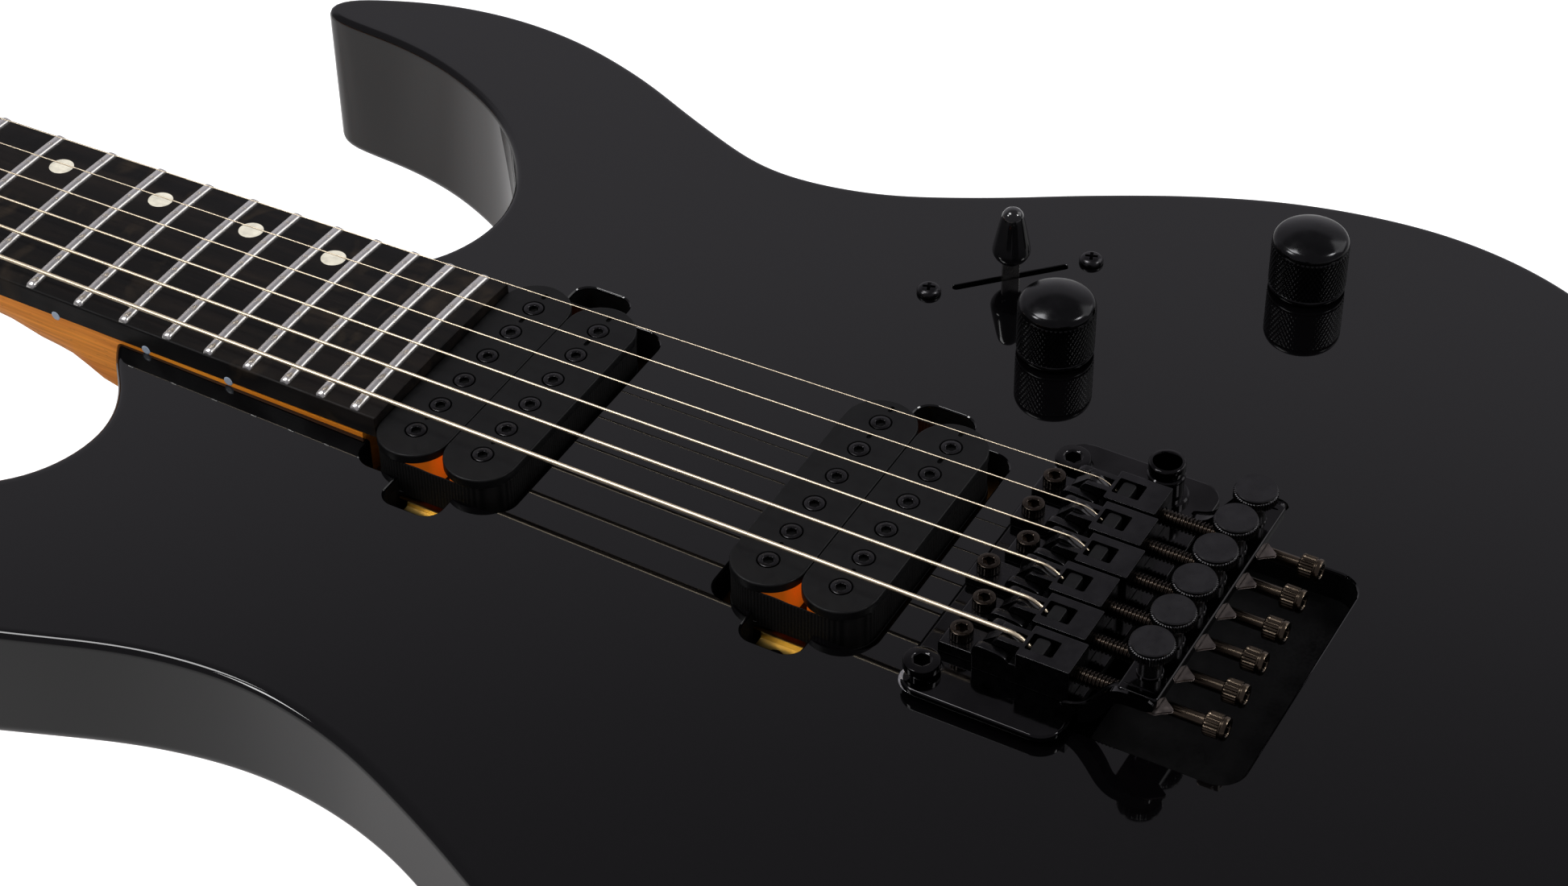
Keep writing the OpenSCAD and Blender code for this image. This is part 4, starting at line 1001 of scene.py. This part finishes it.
def inlays():
    """Face dots that follow the board, and small side dots."""
    face, side = Shape(), Shape()
    for low, high in solids("inlay_dots"):
        spot = NECK_FRAME.inverted() @ ((low + high) / 2)
        if high.x - low.x > 4:
            rings = []
            for r, lift in ((3.15, -1.5), (3.15, -0.04), (3.08, 0.03), (2.2, 0.035), (1.2, 0.035)):
                rings.append([(p.x + spot.x, p.y + spot.y, crown(p.x + spot.x) + lift) for p in polar(r, 32)])
            face.skin(rings, NECK_FRAME)
        else:
            turned = Matrix.Rotation(math.radians(-90), 4, "Y")
            place = NECK_FRAME @ at(-board_half(spot.y), spot.y, 0) @ turned
            side.lathe([(1.25, -1.2), (1.25, -0.02), (1.15, 0.04), (0.6, 0.05)], place, 24)
    piece("face_dots", face, "cream_inlay", stands_for=["inlay_dots"], sharp=60)
    piece("side_dots", side, "cream_inlay", sharp=60, look="side_dot")


# ---- strings ----


def string_ends(i):
    """The y and z where a string leaves its saddle, and the string's radius."""
    low, _ = solids("saddles")[i]
    z = STRING_H + 1 - (STRING_X[i] / STRING_X[5]) ** 2 + BODY_T
    return low.y + SADDLE_REACH, z, GAUGES[i] / 2


def strings():
    """Six strings, from saddle to winding; wound ones are ridged."""
    for i in range(6):
        saddle_y, z, r = string_ends(i)
        x = STRING_X[i]
        nut_x = (i - 2.5) * NUT_PITCH
        nut_z = crown(nut_x) + FRET_H + 0.5 + r
        start = Vector((x, saddle_y, z))
        nut = NECK_FRAME @ Vector((nut_x, BOARD_L, nut_z))
        path = []
        for k in range(13):
            t = k / 12
            path.append((x, saddle_y - 5.2 * (1 - t), z - 2.3 * (1 - t) ** 2))
        wound = i < 3
        gap = 0.28 if wound else 9.0
        steps = int((nut - start).length / gap)
        path += [start.lerp(nut, k / steps) for k in range(1, steps)]
        post = NECK_FRAME.inverted() @ pivot(f"tuner_post_{i + 1}_turn")
        wind = nut_x - post.x
        under_bar = BAR_Z - BAR_R - r - 0.05
        path.append(nut)
        path.append(NECK_FRAME @ Vector((nut_x, BOARD_L + 16, nut_z)))
        path.append(NECK_FRAME @ Vector((nut_x, BOARD_L + 44, under_bar)))
        for k in range(int(WIND_TURNS * WIND_STEPS) + 1):
            a = 2 * math.pi * k / WIND_STEPS
            path.append(NECK_FRAME @ Vector((post.x + wind * math.cos(a), post.y + wind * math.sin(a),
                                             WIND_TOP - k / WIND_STEPS * 2.5 * r)))
        ridge = (lambda k: r if k % 2 else r * 0.92) if wound else r
        shape = Shape().tube(path, ridge, 8 if wound else 10)
        obj = piece(f"string_{6 - i}", shape, "string_steel", sharp=80)
        obj.parent = None
        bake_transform(obj)
        if i in (0, 3):
            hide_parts("strings_wound" if i == 0 else "strings_plain")


# ---- pickups ----


def socket_screw(shape, x, y, z, r, length, key, rim, shank, knurl=None, head=None):
    """A socket-head screw whose head top is at z and whose shank goes down from it."""
    head = r * 1.1 if head is None else head
    side = [(r, -head + 0.2), (r, -rim)]
    if knurl:
        side = [(knurl, -head + 0.2 + (head - rim - 0.2) * k / 8) for k in range(9)]
    profile = [(shank * 0.8, -length), (shank, -length + 0.4), (shank, -head), (r - 0.2, -head)]
    profile += side
    profile += [(r - rim * 0.3, -rim * 0.3), (r - rim, 0), (key * 1.28, 0), (key * 1.18, -0.18)]
    profile += [(hexagon(key), -0.22), (hexagon(key), -head * 0.6)]
    shape.lathe(profile, at(x, y, z), 96 if knurl else 36)


def thread(start, count, pitch, root, crest, steps):
    """Profile of a screw thread: ridges that rise, stay level and fall at the steps after each start."""
    rise, level, fall = steps
    profile = []
    for k in range(count):
        z = start + k * pitch
        profile += [(root, z), (crest, z + rise), (crest, z + level), (root, z + fall)]
    return profile


def knurled(r, teeth, depth):
    """Straight-cut knurling: a toothed radius."""
    def radius(a):
        return r - depth * (0.5 + 0.5 * math.cos(a * teeth))
    return radius


def pickups():
    """Bobbins with their pole screws, coils, and the tape round each pair."""
    bobbins = solids("pickup_bobbins")
    poles = solids("pickup_poles")
    caps, coils, tape, holes = Shape(), Shape(), Shape(), Shape()
    for low, high in bobbins:
        y = (low.y + high.y) / 2
        half, r, cap_low = high.x, (high.y - low.y) / 2, high.z - 2.4
        caps.slab(capsule(half, r, 32), cap_low, high.z, 0.45, 4, at(0, y, 0), 0.2)
        caps.slab(capsule(half - 5, 3.9, 12), low.z + 1.5, cap_low + 0.1, 0.1, 1, at(0, y, 0))
        caps.slab(capsule(half, r, 32), low.z, low.z + 1.6, 0.2, 2, at(0, y, 0))
        coils.slab(capsule(half - 1.2, r - 1.2, 24), low.z + 1.7, cap_low - 0.1, 0.5, 3, at(0, y, 0))
        row = [b for b in poles if abs((b[0].y + b[1].y) / 2 - y) < 3]
        spots = sorted((b[0].x + b[1].x) / 2 for b in row)
        for x in spots:
            holes.lathe([(2.62, high.z - 1.1), (2.62, high.z - 0.25), (2.95, high.z + 0.3)], at(x, y, 0), 36)
        pitch = spots[1] - spots[0]
        for k in (-2, 2, 3):
            holes.slab(capsule(1.1, 0.55, 8), high.z - 0.9, high.z + 0.5, 0.05, 1, at(k * pitch, y, 0))
    for k in (0, 2):
        pair = sorted(bobbins, key=lambda b: b[0].y)[k:k + 2]
        y0, y1 = pair[0][0].y + 0.25, pair[1][1].y - 0.25
        x = pair[0][1].x - 0.2
        low, high = pair[0][0].z + 0.9, pair[0][1].z - 2.55
        outer = even(round_rect(-x, y0, x, y1, 8.7, 14), 0.9)
        inner = inset(outer, 0.5)
        count = len(outer)
        wave = [0.10 * math.sin(i * 0.31) + 0.06 * math.sin(i * 0.83 + 1) for i in range(count)]
        rings = [ring(outer, low), ring(outer, (low + high) / 2)]
        rims = [(outer, high - 0.3), (inset(outer, 0.12), high), (inset(outer, 0.38), high)]
        rims.append((inner, high - 0.3))
        for loop, z in rims:
            rings.append([(p.x, p.y, z + lift) for p, lift in zip(loop, wave)])
        rings += [ring(inner, low), ring(outer, low)]
        tape.skin(rings, caps=False)
    obj = mesh_object("bobbins", caps)
    carve(obj, holes)
    finish_piece(obj, "satin_black_plastic", stands_for=["pickup_bobbins"], sharp=35)
    piece("coil_windings", coils, "copper_coil", stands_for=["pickup_coils"], sharp=50)
    piece("coil_tape", tape, "satin_black_plastic", sharp=50, look="cloth_tape")
    screws = Shape()
    for low, high in poles:
        middle = (low + high) / 2
        socket_screw(screws, middle.x, middle.y, high.z - 0.3, 2.4, 15, 1.15, 0.3, 2.0)
    piece("pole_screws", screws, "black_hardware", stands_for=["pickup_poles"], sharp=40)


# ---- tremolo ----


def eased(profile, ease):
    """A closed profile with its corners rounded by about ease."""
    points = [Vector(p) for p in profile]
    soft = []
    for i, p in enumerate(points):
        before, after = points[i - 1], points[(i + 1) % len(points)]
        reach = min(ease, (p - before).length * 0.45, (after - p).length * 0.45)
        start = p + (before - p).normalized() * reach
        end = p + (after - p).normalized() * reach
        soft += [start, (start + 2 * p + end) / 4, end]
    return soft


def side_slab(shape, profile, x0, x1, ease, edge, origin):
    """A plate between x0 and x1 whose outline is drawn in (y, z)."""
    loop = eased(profile, ease)
    loop = loop if area(loop) > 0 else loop[::-1]
    place = at(*origin) @ ALONG_X
    shape.slab(loop, x0, x1, edge, 2, place)


def saddle(name, x, y, string_z, foot_end):
    """A frame round the clamp insert, prongs and ears beside the string, and a foot."""
    crest = 12
    origin = (x, y, BODY_T)
    base = PLATE_TOP - BODY_T
    block = Shape().block((x - 5, y - SADDLE_REACH, PLATE_TOP), (x + 5, y - 4, BODY_T + crest))
    obj = mesh_object(name, block)
    front = Shape()
    bed = [(-4.6, base), (6.2, base), (6.2, 6.8), (4.6, 8.4), (-4.6, 8.4)]
    side_slab(front, bed, -4.95, 4.95, 0.6, 0.25, origin)
    ear = [(-3.0, 6.0), (6.4, 6.0), (6.4, 8.2), (5.6, 9.8), (4.6, 10.2), (0.2, 9.9), (-1.6, 9.4), (-3.0, 8.0)]
    for side in (-1, 1):
        side_slab(front, ear, side * 3.95 - 1.03, side * 3.95 + 1.03, 0.8, 0.3, origin)
        reach = 2.9 + 0.4 * side
        prong = [(-5, 7.8), (reach, 7.8), (reach, 10.6), (reach - 1.2, crest), (-5, crest)]
        side_slab(front, prong, side * 2.05 - 0.75, side * 2.05 + 0.75, 0.35, 0.18, origin)
    hump = string_z - BODY_T
    ramp = [(-4.6, 7.6), (5.6, 7.6), (5.2, 8.8), (1.4, hump - 0.1), (0.6, hump), (-0.6, hump - 0.15),
            (-4.6, hump - 2.2)]
    side_slab(front, ramp, -1.36, 1.36, 0.5, 0.1, origin)
    foot = [(5.8, base), (foot_end, base), (foot_end, 5.4), (foot_end - 0.5, 6.0), (5.8, 6.0)]
    side_slab(front, foot, -3.7, 3.7, 0.3, 0.3, origin)
    carve(obj, front, "UNION", own_crossings=True)
    cuts = Shape()
    window = round_rect(x - 2.6, y - 11.4, x + 2.6, y - 4.9, 0.4, 3)
    cuts.slab(window, PLATE_TOP + 2, BODY_T + crest + 1, 0.02, 1)
    bore = at(x, y - 11, BODY_T + 7.5) @ TO_TAIL
    cuts.lathe([(2.05, 0), (2.05, 5.4), (2.35, 5.7)], bore, 32)
    for side in (-1, 1):
        pin = at(x + side * 5, y + 2.4, BODY_T + 7) @ ALONG_X
        cuts.lathe([(1.1, -0.45), (1.1, 0.45)], pin, 24)
    carve(obj, cuts, own_crossings=True)
    return obj


def saddles():
    """Saddles, the inserts that clamp the strings, and the intonation screws."""
    screws = solids("intonation_screws")
    for i, (low, high) in enumerate(solids("saddles")):
        x, y = (low.x + high.x) / 2, low.y + SADDLE_REACH
        obj = saddle(f"saddle_{6 - i}", x, y, string_ends(i)[1] - GAUGES[i] / 2, high.y - y)
        finish_piece(obj, "black_hardware", "tremolo", ["saddles"] if i == 0 else [], 0.1, 40)
    inserts = Shape()
    for low, high in solids("clamp_blocks"):
        inserts.slab(round_rect(low.x, low.y, high.x, high.y, 0.9, 4), low.z, high.z, 0.35)
    piece("clamp_inserts", inserts, "black_hardware", "tremolo", ["clamp_blocks"], sharp=40,
          look="satin_black_plastic")
    shape = Shape()
    for low, high in screws:
        middle = (low + high) / 2
        socket_screw(shape, middle.x, middle.y, high.z, 2.6, high.z - low.z, 1.3, 0.35, 1.45,
                     knurl=knurled(2.62, 24, 0.12), head=2.7)
    piece("saddle_screws", shape, "dark_nickel", "tremolo", ["intonation_screws"], sharp=40,
          look="bronzed_black")


def lock_screws():
    """Long string-lock screws: a black thread, then a bronzed shaft and knurled socket head."""
    threads, heads = Shape(), Shape()
    for low, high in solids("lock_screws"):
        x, z = (low.x + high.x) / 2, (low.z + high.z) / 2
        length = high.y - low.y
        thread_end = high.y + 32
        place = at(x, high.y, z) @ TO_TAIL
        profile = [(1.2, 0), (1.6, 0.3)]
        profile += thread(0.5, int(thread_end / 0.9), 0.9, 1.55, 1.98, (0.3, 0.45, 0.75))
        profile += [(1.5, thread_end), (0.3, thread_end)]
        threads.lathe(profile, place, 32)
        head = length - 5
        profile = [(0.3, thread_end), (1.49, thread_end), (1.48, thread_end + 1), (1.48, head - 0.02)]
        profile += [(2.3, head), (2.6, head + 0.25)]
        profile += [(knurled(2.75, 24, 0.2), head + 0.4 + 3.0 * k / 5) for k in range(6)]
        profile += [(2.5, head + 3.5), (2.5, head + 3.8), (2.72, head + 4.0), (2.74, head + 4.6)]
        profile += [(2.5, length), (1.75, length), (1.62, length - 0.2)]
        profile += [(hexagon(1.4), length - 0.25), (hexagon(1.4), length - 2.6)]
        heads.lathe(profile, place, 120)
    piece("string_lock_heads", heads, "dark_nickel", "tremolo", ["lock_screws"], sharp=40)
    piece("string_lock_threads", threads, "dark_nickel", "tremolo", sharp=40, look="bronzed_black")


def tremolo_plate():
    """Base plate with its post notches, the arched brackets and the tuner shelf."""
    low, high = box("base_plate")
    posts = centres("pivot_posts")
    plan = round_rect(-44, -24, 46.5, high.y, 5.5, 8)
    plate = Shape().slab(plan, PLATE_TOP - 1.6, PLATE_TOP, 0.55, 4, low_edge=0.3)
    obj = mesh_object("tremolo_plate", plate)
    notches = Shape()
    for post in posts:
        loop = arc(post.x, post.y, 4.5, 180, 360, 18) + [Vector((post.x + 4.5, post.y + 12)),
                                                         Vector((post.x - 4.5, post.y + 12))]
        notches.slab(loop, BODY_T, PLATE_TOP - 0.35, 0, 1)
        notches.slab(inset(loop, -0.35), PLATE_TOP - 0.36, PLATE_TOP + 3, 0, 1)
    carve(obj, notches, own_crossings=True)
    edges = Shape()
    tilt = pivot("tremolo_tilt")
    for post in posts:
        knife = [(-3.6, -0.9), (-1.6, -0.9), (0.15, -0.2), (0.2, 0.1), (0.1, 0.22), (-1.2, 0.7), (-3.6, 0.7)]
        side_slab(edges, knife, -2.5, 2.5, 0.08, 0.05, (post.x, tilt.y, tilt.z))
    carve(obj, edges, "UNION", own_crossings=True)
    finish_piece(obj, "black_hardware", "tremolo", ["base_plate"], 0.1, 40, "gloss_hardware")
    shelf_low = BODY_T + 13.1
    rises = [(-20, 2.4), (-24.5, 2.3), (-28.5, 4.6), (-31.2, 8.6), (-33, 12.8), (-36, 13.3), (-42.2, 13.3),
             (-42.4, 15.6), (-34, 15.7), (-31.2, 13.6), (-28.4, 9.2), (-25.6, 5.6), (-23.0, 4.1), (-20, 3.9)]
    shelf = Shape()
    for side in (-1, 1):
        loop = even(eased(rises, 1.2), 1.1)
        place = at(side * 33.8, 0, BODY_T) @ ALONG_X
        shelf.slab(relaxed(loop, 2), -1.6, 1.6, 0.5, 3, place)
    shelf.slab(round_rect(-34.2, low.y + 2.9, 34.2, -33.2, 1.2, 5), shelf_low, shelf_low + 2.7, 0.5, 3)
    for x in STRING_X:
        shelf.lathe([(2.9, 2.6), (2.9, 3.1), (2.7, 3.3)], at(x, -37.6, shelf_low), 32)
    piece("tuner_shelf", shelf, "black_hardware", "tremolo", sharp=40, look="gloss_hardware")
    leaf = Shape()
    leaf.slab(round_rect(-32.5, -35.6, 32.5, -33.6, 0.3, 2), shelf_low - 0.6, shelf_low - 0.05, 0.1, 1)
    for x in STRING_X:
        half = [(2.4, -35), (2.6, -42.5), (1.9, -43.2), (0.3, -45.3)]
        outline = half + [(-px, py) for px, py in half[::-1]]
        loop = [Vector((px + x - 5.4, py)) for px, py in outline]
        leaf.slab(loop, shelf_low - 0.65, shelf_low - 0.1, 0.12, 2)
    piece("leaf_spring", leaf, "dark_nickel", "tremolo", sharp=30, look="leaf_steel")


def pivot_posts():
    """The two posts that the tremolo tilts on, and the arm's socket."""
    shape = Shape()
    for low, high in solids("pivot_posts"):
        x, y = (low.x + high.x) / 2, (low.y + high.y) / 2
        head = high.z - BODY_T
        profile = [(3.4, -20), (3.4, 0), (4.0, 0), (4.0, 0.5), (3.9, 0.6), (2.5, 0.62), (2.5, head - 2.1),
                   (3.9, head - 2.1), (4.15, head - 1.85), (4.15, head - 0.4), (4.0, head - 0.1)]
        profile += [(3.75, head), (2.35, head), (2.15, head - 0.2)]
        profile += [(hexagon(1.75), head - 0.25), (hexagon(1.75), head - 2.6)]
        shape.lathe(profile, at(x, y, BODY_T), 60)
    piece("tremolo_posts", shape, "black_hardware", "guitar", ["pivot_posts"], sharp=40,
          look="gloss_hardware")
    low, high = box("arm_collar")
    x, y, top = (low.x + high.x) / 2, (low.y + high.y) / 2, high.z
    profile = [(5.4, PLATE_TOP), (5.4, PLATE_TOP + 1.0), (5.0, PLATE_TOP + 1.4), (4.1, PLATE_TOP + 1.45),
               (4.1, top - 4.4), (4.35, top - 4.1), (4.35, top - 3.4), (4.05, top - 3.1), (4.05, top - 2.6),
               (4.25, top - 2.3), (4.25, top - 0.5), (4.05, top - 0.1), (3.85, top), (3.35, top),
               (3.15, top - 0.3), (3.1, top - 0.5), (3.1, PLATE_TOP + 0.9)]
    collar = Shape().lathe(profile, at(x, y, 0), 60)
    piece("arm_socket", collar, "black_hardware", "tremolo", ["arm_collar"], sharp=40,
          look="gloss_hardware")


def fine_tuners():
    """Knurled thumb screws with a fine thread."""
    for i in range(6):
        name = f"fine_tuner_{i + 1}"
        low, high = box(name)
        place = at((low.x + high.x) / 2, (low.y + high.y) / 2, 0)
        r = (high.x - low.x) / 2
        top = high.z
        stem = BODY_T + 16.1
        profile = [(1.3, low.z), (1.55, low.z + 0.3)]
        turns = int((stem - low.z - 0.6) / 0.7)
        profile += thread(low.z + 0.5, turns, 0.7, 1.6, 1.88, (0.25, 0.4, 0.65))
        profile += [(1.6, stem - 0.05), (2.45, stem), (2.45, top - 4.3)]
        profile += [(3.6, top - 3.3), (r - 0.5, top - 3.0)]
        teeth = knurled(r, 48, 0.4)
        profile += [(teeth, top - 2.8 + 1.8 * k / 3) for k in range(4)]
        profile += [(r - 0.5, top - 0.85), (r - 0.35, top - 0.7), (r - 0.3, top - 0.25), (r - 0.5, top)]
        profile += [(r * 0.6, top), (r * 0.1, top)]
        shape = Shape().lathe(profile, place, 168)
        piece(f"tuner_knob_{i + 1}", shape, "black_hardware", name, [name], sharp=38, look="tuner_black")


# ---- controls ----


def knobs():
    """Domed knobs with a diamond knurl."""
    for name, body_name in (("volume_knob", "volume"), ("tone_knob", "tone")):
        low, high = box(name)
        r, top = (high.x - low.x) / 2, high.z - BODY_T
        teeth = 52

        def diamond(z):
            return lambda a: r - 0.09 - 0.13 * (1 - math.cos(a * teeth) * math.cos(math.pi * z * 1.05))

        profile = [(3, -12), (3, 0.8), (r - 0.7, 0.7), (r - 0.35, 0.8)]
        profile += [(r - 0.2, 1.0), (r - 0.2, 1.7), (r - 0.4, 1.9)]
        profile += [(diamond(k * 0.3), 2.1 + k * 0.3) for k in range(36)]
        dome_edge = 12.8
        profile += [(r - 0.4, dome_edge + 0.2), (r - 0.15, dome_edge + 0.5)]
        for k in range(1, 9):
            a = math.radians(62 * k / 8)
            profile.append((r - 0.15 - 2.6 * (1 - math.cos(a)), dome_edge + 0.5 + 2.6 * math.sin(a)))
        edge_r, edge_z = profile[-1]
        for k in range(1, 7):
            u = 1 - k / 7
            profile.append((edge_r * u, edge_z + (top - edge_z) * (1 - u * u)))
        profile.append((0.3, top))
        place = at((low.x + high.x) / 2, (low.y + high.y) / 2, BODY_T)
        cap = Shape().lathe(profile, place, 260)
        piece(f"{body_name}_cap", cap, "black_knob", body_name, [name], sharp=50)


def selector():
    """The pickup selector's blade and its tip."""
    spot = pivot("selector_swing")
    place = at(spot.x, spot.y, BODY_T, -45)
    lever = Shape()
    lever.slab(round_rect(-2.2, -0.6, 2.2, 0.6, 0.25, 2), -21, 14, 0.2, 2, place)
    turned = place @ Matrix.Translation((0, 0, -22)) @ Matrix.Rotation(math.radians(90), 4, "X")
    lever.lathe([(5, -0.6), (5, 0.6)], turned, 40)
    piece("selector_blade", lever, "bare_steel", "selector", ["selector_lever"], sharp=40)
    profile = [(0.9, 5.1), (2.3, 5.1), (3.1, 5.6), (3.9, 6.5), (4.5, 7.6), (4.7, 8.4), (4.66, 9.2)]
    profile += [(4.3, 11.2), (3.2, 16.6), (2.75, 18.4), (2.5, 19.2), (2.0, 19.9), (1.3, 20.4), (0.5, 20.58)]
    cap = Shape().lathe(profile, place, 48)
    piece("selector_cap", cap, "gloss_black_plastic", "selector", ["selector_tip"], sharp=50)


def cross_screw(shape, cuts, place, r, height, shank, length, flat=False):
    """A cross-recess screw with its head on z = 0; a flat one is countersunk below it."""
    profile = [(shank * 0.4, -length), (shank, -length + 2)]
    if flat:
        profile += [(shank, -(r - shank)), (r, 0), (r * 0.2, 0)]
        top = 0
    else:
        profile += [(shank, 0), (r * 0.94, 0), (r, 0.2), (r, 0.55)]
        for k in range(1, 6):
            a = math.radians(90 * k / 6)
            profile.append((r * (0.35 + 0.65 * math.cos(a)), 0.55 + (height - 0.55) * math.sin(a)))
        profile.append((r * 0.1, height))
        top = height
    shape.lathe(profile, place, 40)
    for turn in (20, 110):
        blade = place @ Matrix.Rotation(math.radians(turn), 4, "Z")
        width = r * 0.16
        sizes = ((r * 0.28, width * 0.4, top - r * 0.5), (r * 0.6, width, top + 0.4))
        cuts.skin([[(-x, -y, z), (x, -y, z), (x, y, z), (-x, y, z)] for x, y, z in sizes], blade)


def mounting_screws():
    """Every wood and machine screw of the node, by where its box lies and which way it points."""
    shape, cuts = Shape(), Shape()
    back = Matrix.Rotation(math.pi, 4, "X")
    for low, high in solids("mounting_screws"):
        middle, size = (low + high) / 2, high - low
        if size.y > 20:
            at_tail = middle.y < -60
            at_horn = middle.x < -80 and not at_tail
            height, shank = (1.8, 1.8) if at_tail or at_horn else (2.4, 2)
            head = high.y - height if at_horn else low.y + height
            place = Matrix.Translation((middle.x, head, middle.z)) @ (TO_HEAD if at_horn else TO_TAIL)
            cross_screw(shape, cuts, place, size.x / 2, height, shank, size.y - height)
        elif low.z < 1:
            cross_screw(shape, cuts, at(middle.x, middle.y, low.z) @ back,
                        size.x / 2, 0, 2.05 if size.z > 20 else 1.2, size.z, True)
        elif middle.y > 600:
            long = size.x > 4.2
            cross_screw(shape, cuts, at(middle.x, high.y - size.x / 2, high.z - (1.4 if long else 0)),
                        size.x / 2, 1.4, 1.4 if long else 0.95, size.z - 1.4, not long)
        else:
            height = 1.9 if size.x > 5.6 else 1.8
            cross_screw(shape, cuts, at(middle.x, middle.y, high.z - height), size.x / 2, height,
                        1.4, size.z - height)
    obj = mesh_object("wood_screws", shape)
    carve(obj, cuts, own_crossings=True)
    finish_piece(obj, "black_hardware", stands_for=["mounting_screws"], sharp=35)


# ---- springs and back ----


def springs():
    """The tremolo springs, which stretch between the claw and the block."""
    shape = Shape()
    z = SPRING_Z
    for low, high in solids("trem_springs"):
        x = (low.x + high.x) / 2
        path = [(x, -2, z + 7), (x, -2, z + 1), (x, -1.2, z), (x, 4, z), (x, 18, z + 1.5), (x, 23, z + 3.3)]
        turns, steps = 40, 14
        for k in range(turns * steps + 1):
            a = 2 * math.pi * k / steps
            y = 24 + 63 * k / (turns * steps)
            path.append((x + SPRING_R * math.sin(a), y, z + SPRING_R * math.cos(a)))
        path += [(x, 90, z + 3.4), (x, high.y, z + 3.2)]
        shape.tube(path, 0.62, 6)
    obj = piece("tremolo_springs", shape, "bare_steel", sharp=60)
    obj.parent = None
    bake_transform(obj)
    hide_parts("trem_springs")


neck()
fretboard()
frets()
inlays()
strings()
pickups()
saddles()
lock_screws()
tremolo_plate()
pivot_posts()
fine_tuners()
knobs()
selector()
mounting_screws()
springs()

# ---- CAD nodes that keep their own shape ----

RECORD_SLOT = {row["node"]: row["material_slot"] for row in frame["record"]["subparts"]}
for node_name, node_object in frame["nodes"].items():
    if not node_object.hide_render:
        dress(node_name, RECORD_SLOT[node_name])


# ---- stage, light and camera ----


def stage():
    """A wide pale floor, which looks white to the camera."""
    half, drop = 9000, -150
    corners = [(-half, -half, drop), (half, -half, drop), (half, half, drop), (-half, half, drop)]
    floor = mesh_object("floor", Shape().add(corners, [[0, 1, 2, 3]]))
    look = Look("pale_floor", (0.62, 0.62, 0.62), 0.9)
    look.set("Emission Color", (1, 1, 1))
    seen = look.node("ShaderNodeLightPath").outputs["Is Camera Ray"]
    look.set("Emission Strength", look.ramp(seen, 0, 1, 0.0, 0.8))
    floor.data.materials.append(LOOKS["pale_floor"])


def world():
    """White to the camera, a bright card behind the guitar to mirrors, soft light to all else."""
    made = bpy.data.worlds.new("studio")
    bpy.context.scene.world = made
    made.use_nodes = True
    nodes = Nodes(made.node_tree)
    rays = nodes.node("ShaderNodeLightPath").outputs
    sky = nodes.node("ShaderNodeTexCoord").outputs["Generated"]
    toward = nodes.node("ShaderNodeVectorMath", {"operation": "DOT_PRODUCT"}, Vector=sky)
    toward.inputs[1].default_value = (0.87, 0.49, 0)
    height = nodes.node("ShaderNodeSeparateXYZ", Vector=sky).outputs["Z"]
    card = nodes.multiply(nodes.ramp(toward.outputs["Value"], 0.3, 0.62, 0, 1, "SMOOTHSTEP"),
                          nodes.ramp(height, 0.60, 0.75, 1, 0, "SMOOTHSTEP"))
    mirrored = nodes.mix(card, (0.19, 0.183, 0.20), (0.44, 0.425, 0.46))
    lit = nodes.mix(rays["Is Diffuse Ray"], mirrored, (0.62, 0.61, 0.62))
    background = made.node_tree.nodes["Background"]
    nodes.feed(background.inputs["Color"], nodes.mix(rays["Is Camera Ray"], lit, (1, 1, 1)))
    background.inputs["Strength"].default_value = 1.0


def softbox(name, direction, distance, size, watts):
    """A square soft light that looks at the bridge from a direction."""
    data = bpy.data.lights.new(name, "AREA")
    data.shape = "RECTANGLE"
    data.size = size
    data.size_y = size
    data.energy = watts
    lamp = bpy.data.objects.new(name, data)
    bpy.context.scene.collection.objects.link(lamp)
    toward = Vector(direction).normalized()
    lamp.location = Vector((0, 0.08, 0.04)) + toward * distance
    lamp.rotation_mode = "QUATERNION"
    lamp.rotation_quaternion = toward.to_track_quat("Z", "Y")


def camera():
    """A long lens that looks down across the body from beyond its bass side."""
    data = bpy.data.cameras.new("camera")
    data.sensor_width = 36
    data.lens = 81.08
    data.clip_start = 0.01
    data.clip_end = 60
    made = bpy.data.objects.new("camera", data)
    bpy.context.scene.collection.objects.link(made)
    right = Vector((0.48649, -0.87363, -0.01008))
    down = Vector((-0.57568, -0.31185, -0.75587))
    ahead = Vector((0.65721, 0.37352, -0.65465))
    turn = Matrix((right, -down, -ahead)).transposed().to_4x4()
    made.matrix_world = Matrix.Translation(Vector((-518.18, -230.19, 532.26 + BODY_T)) * MM) @ turn
    bpy.context.scene.camera = made


stage()
world()
softbox("over_strings", (-0.12, 0.37, 0.92), 1.6, 0.5, 8)
softbox("camera_left", (-0.46, 0.55, 0.69), 1.8, 0.35, 6)
softbox("camera_right", (0.23, -0.68, 0.70), 1.8, 0.35, 6)
softbox("over_frets", (0.657, -0.56, 0.50), 1.5, 0.9, 3)
camera()
bpy.context.scene.view_settings.view_transform = "Standard"
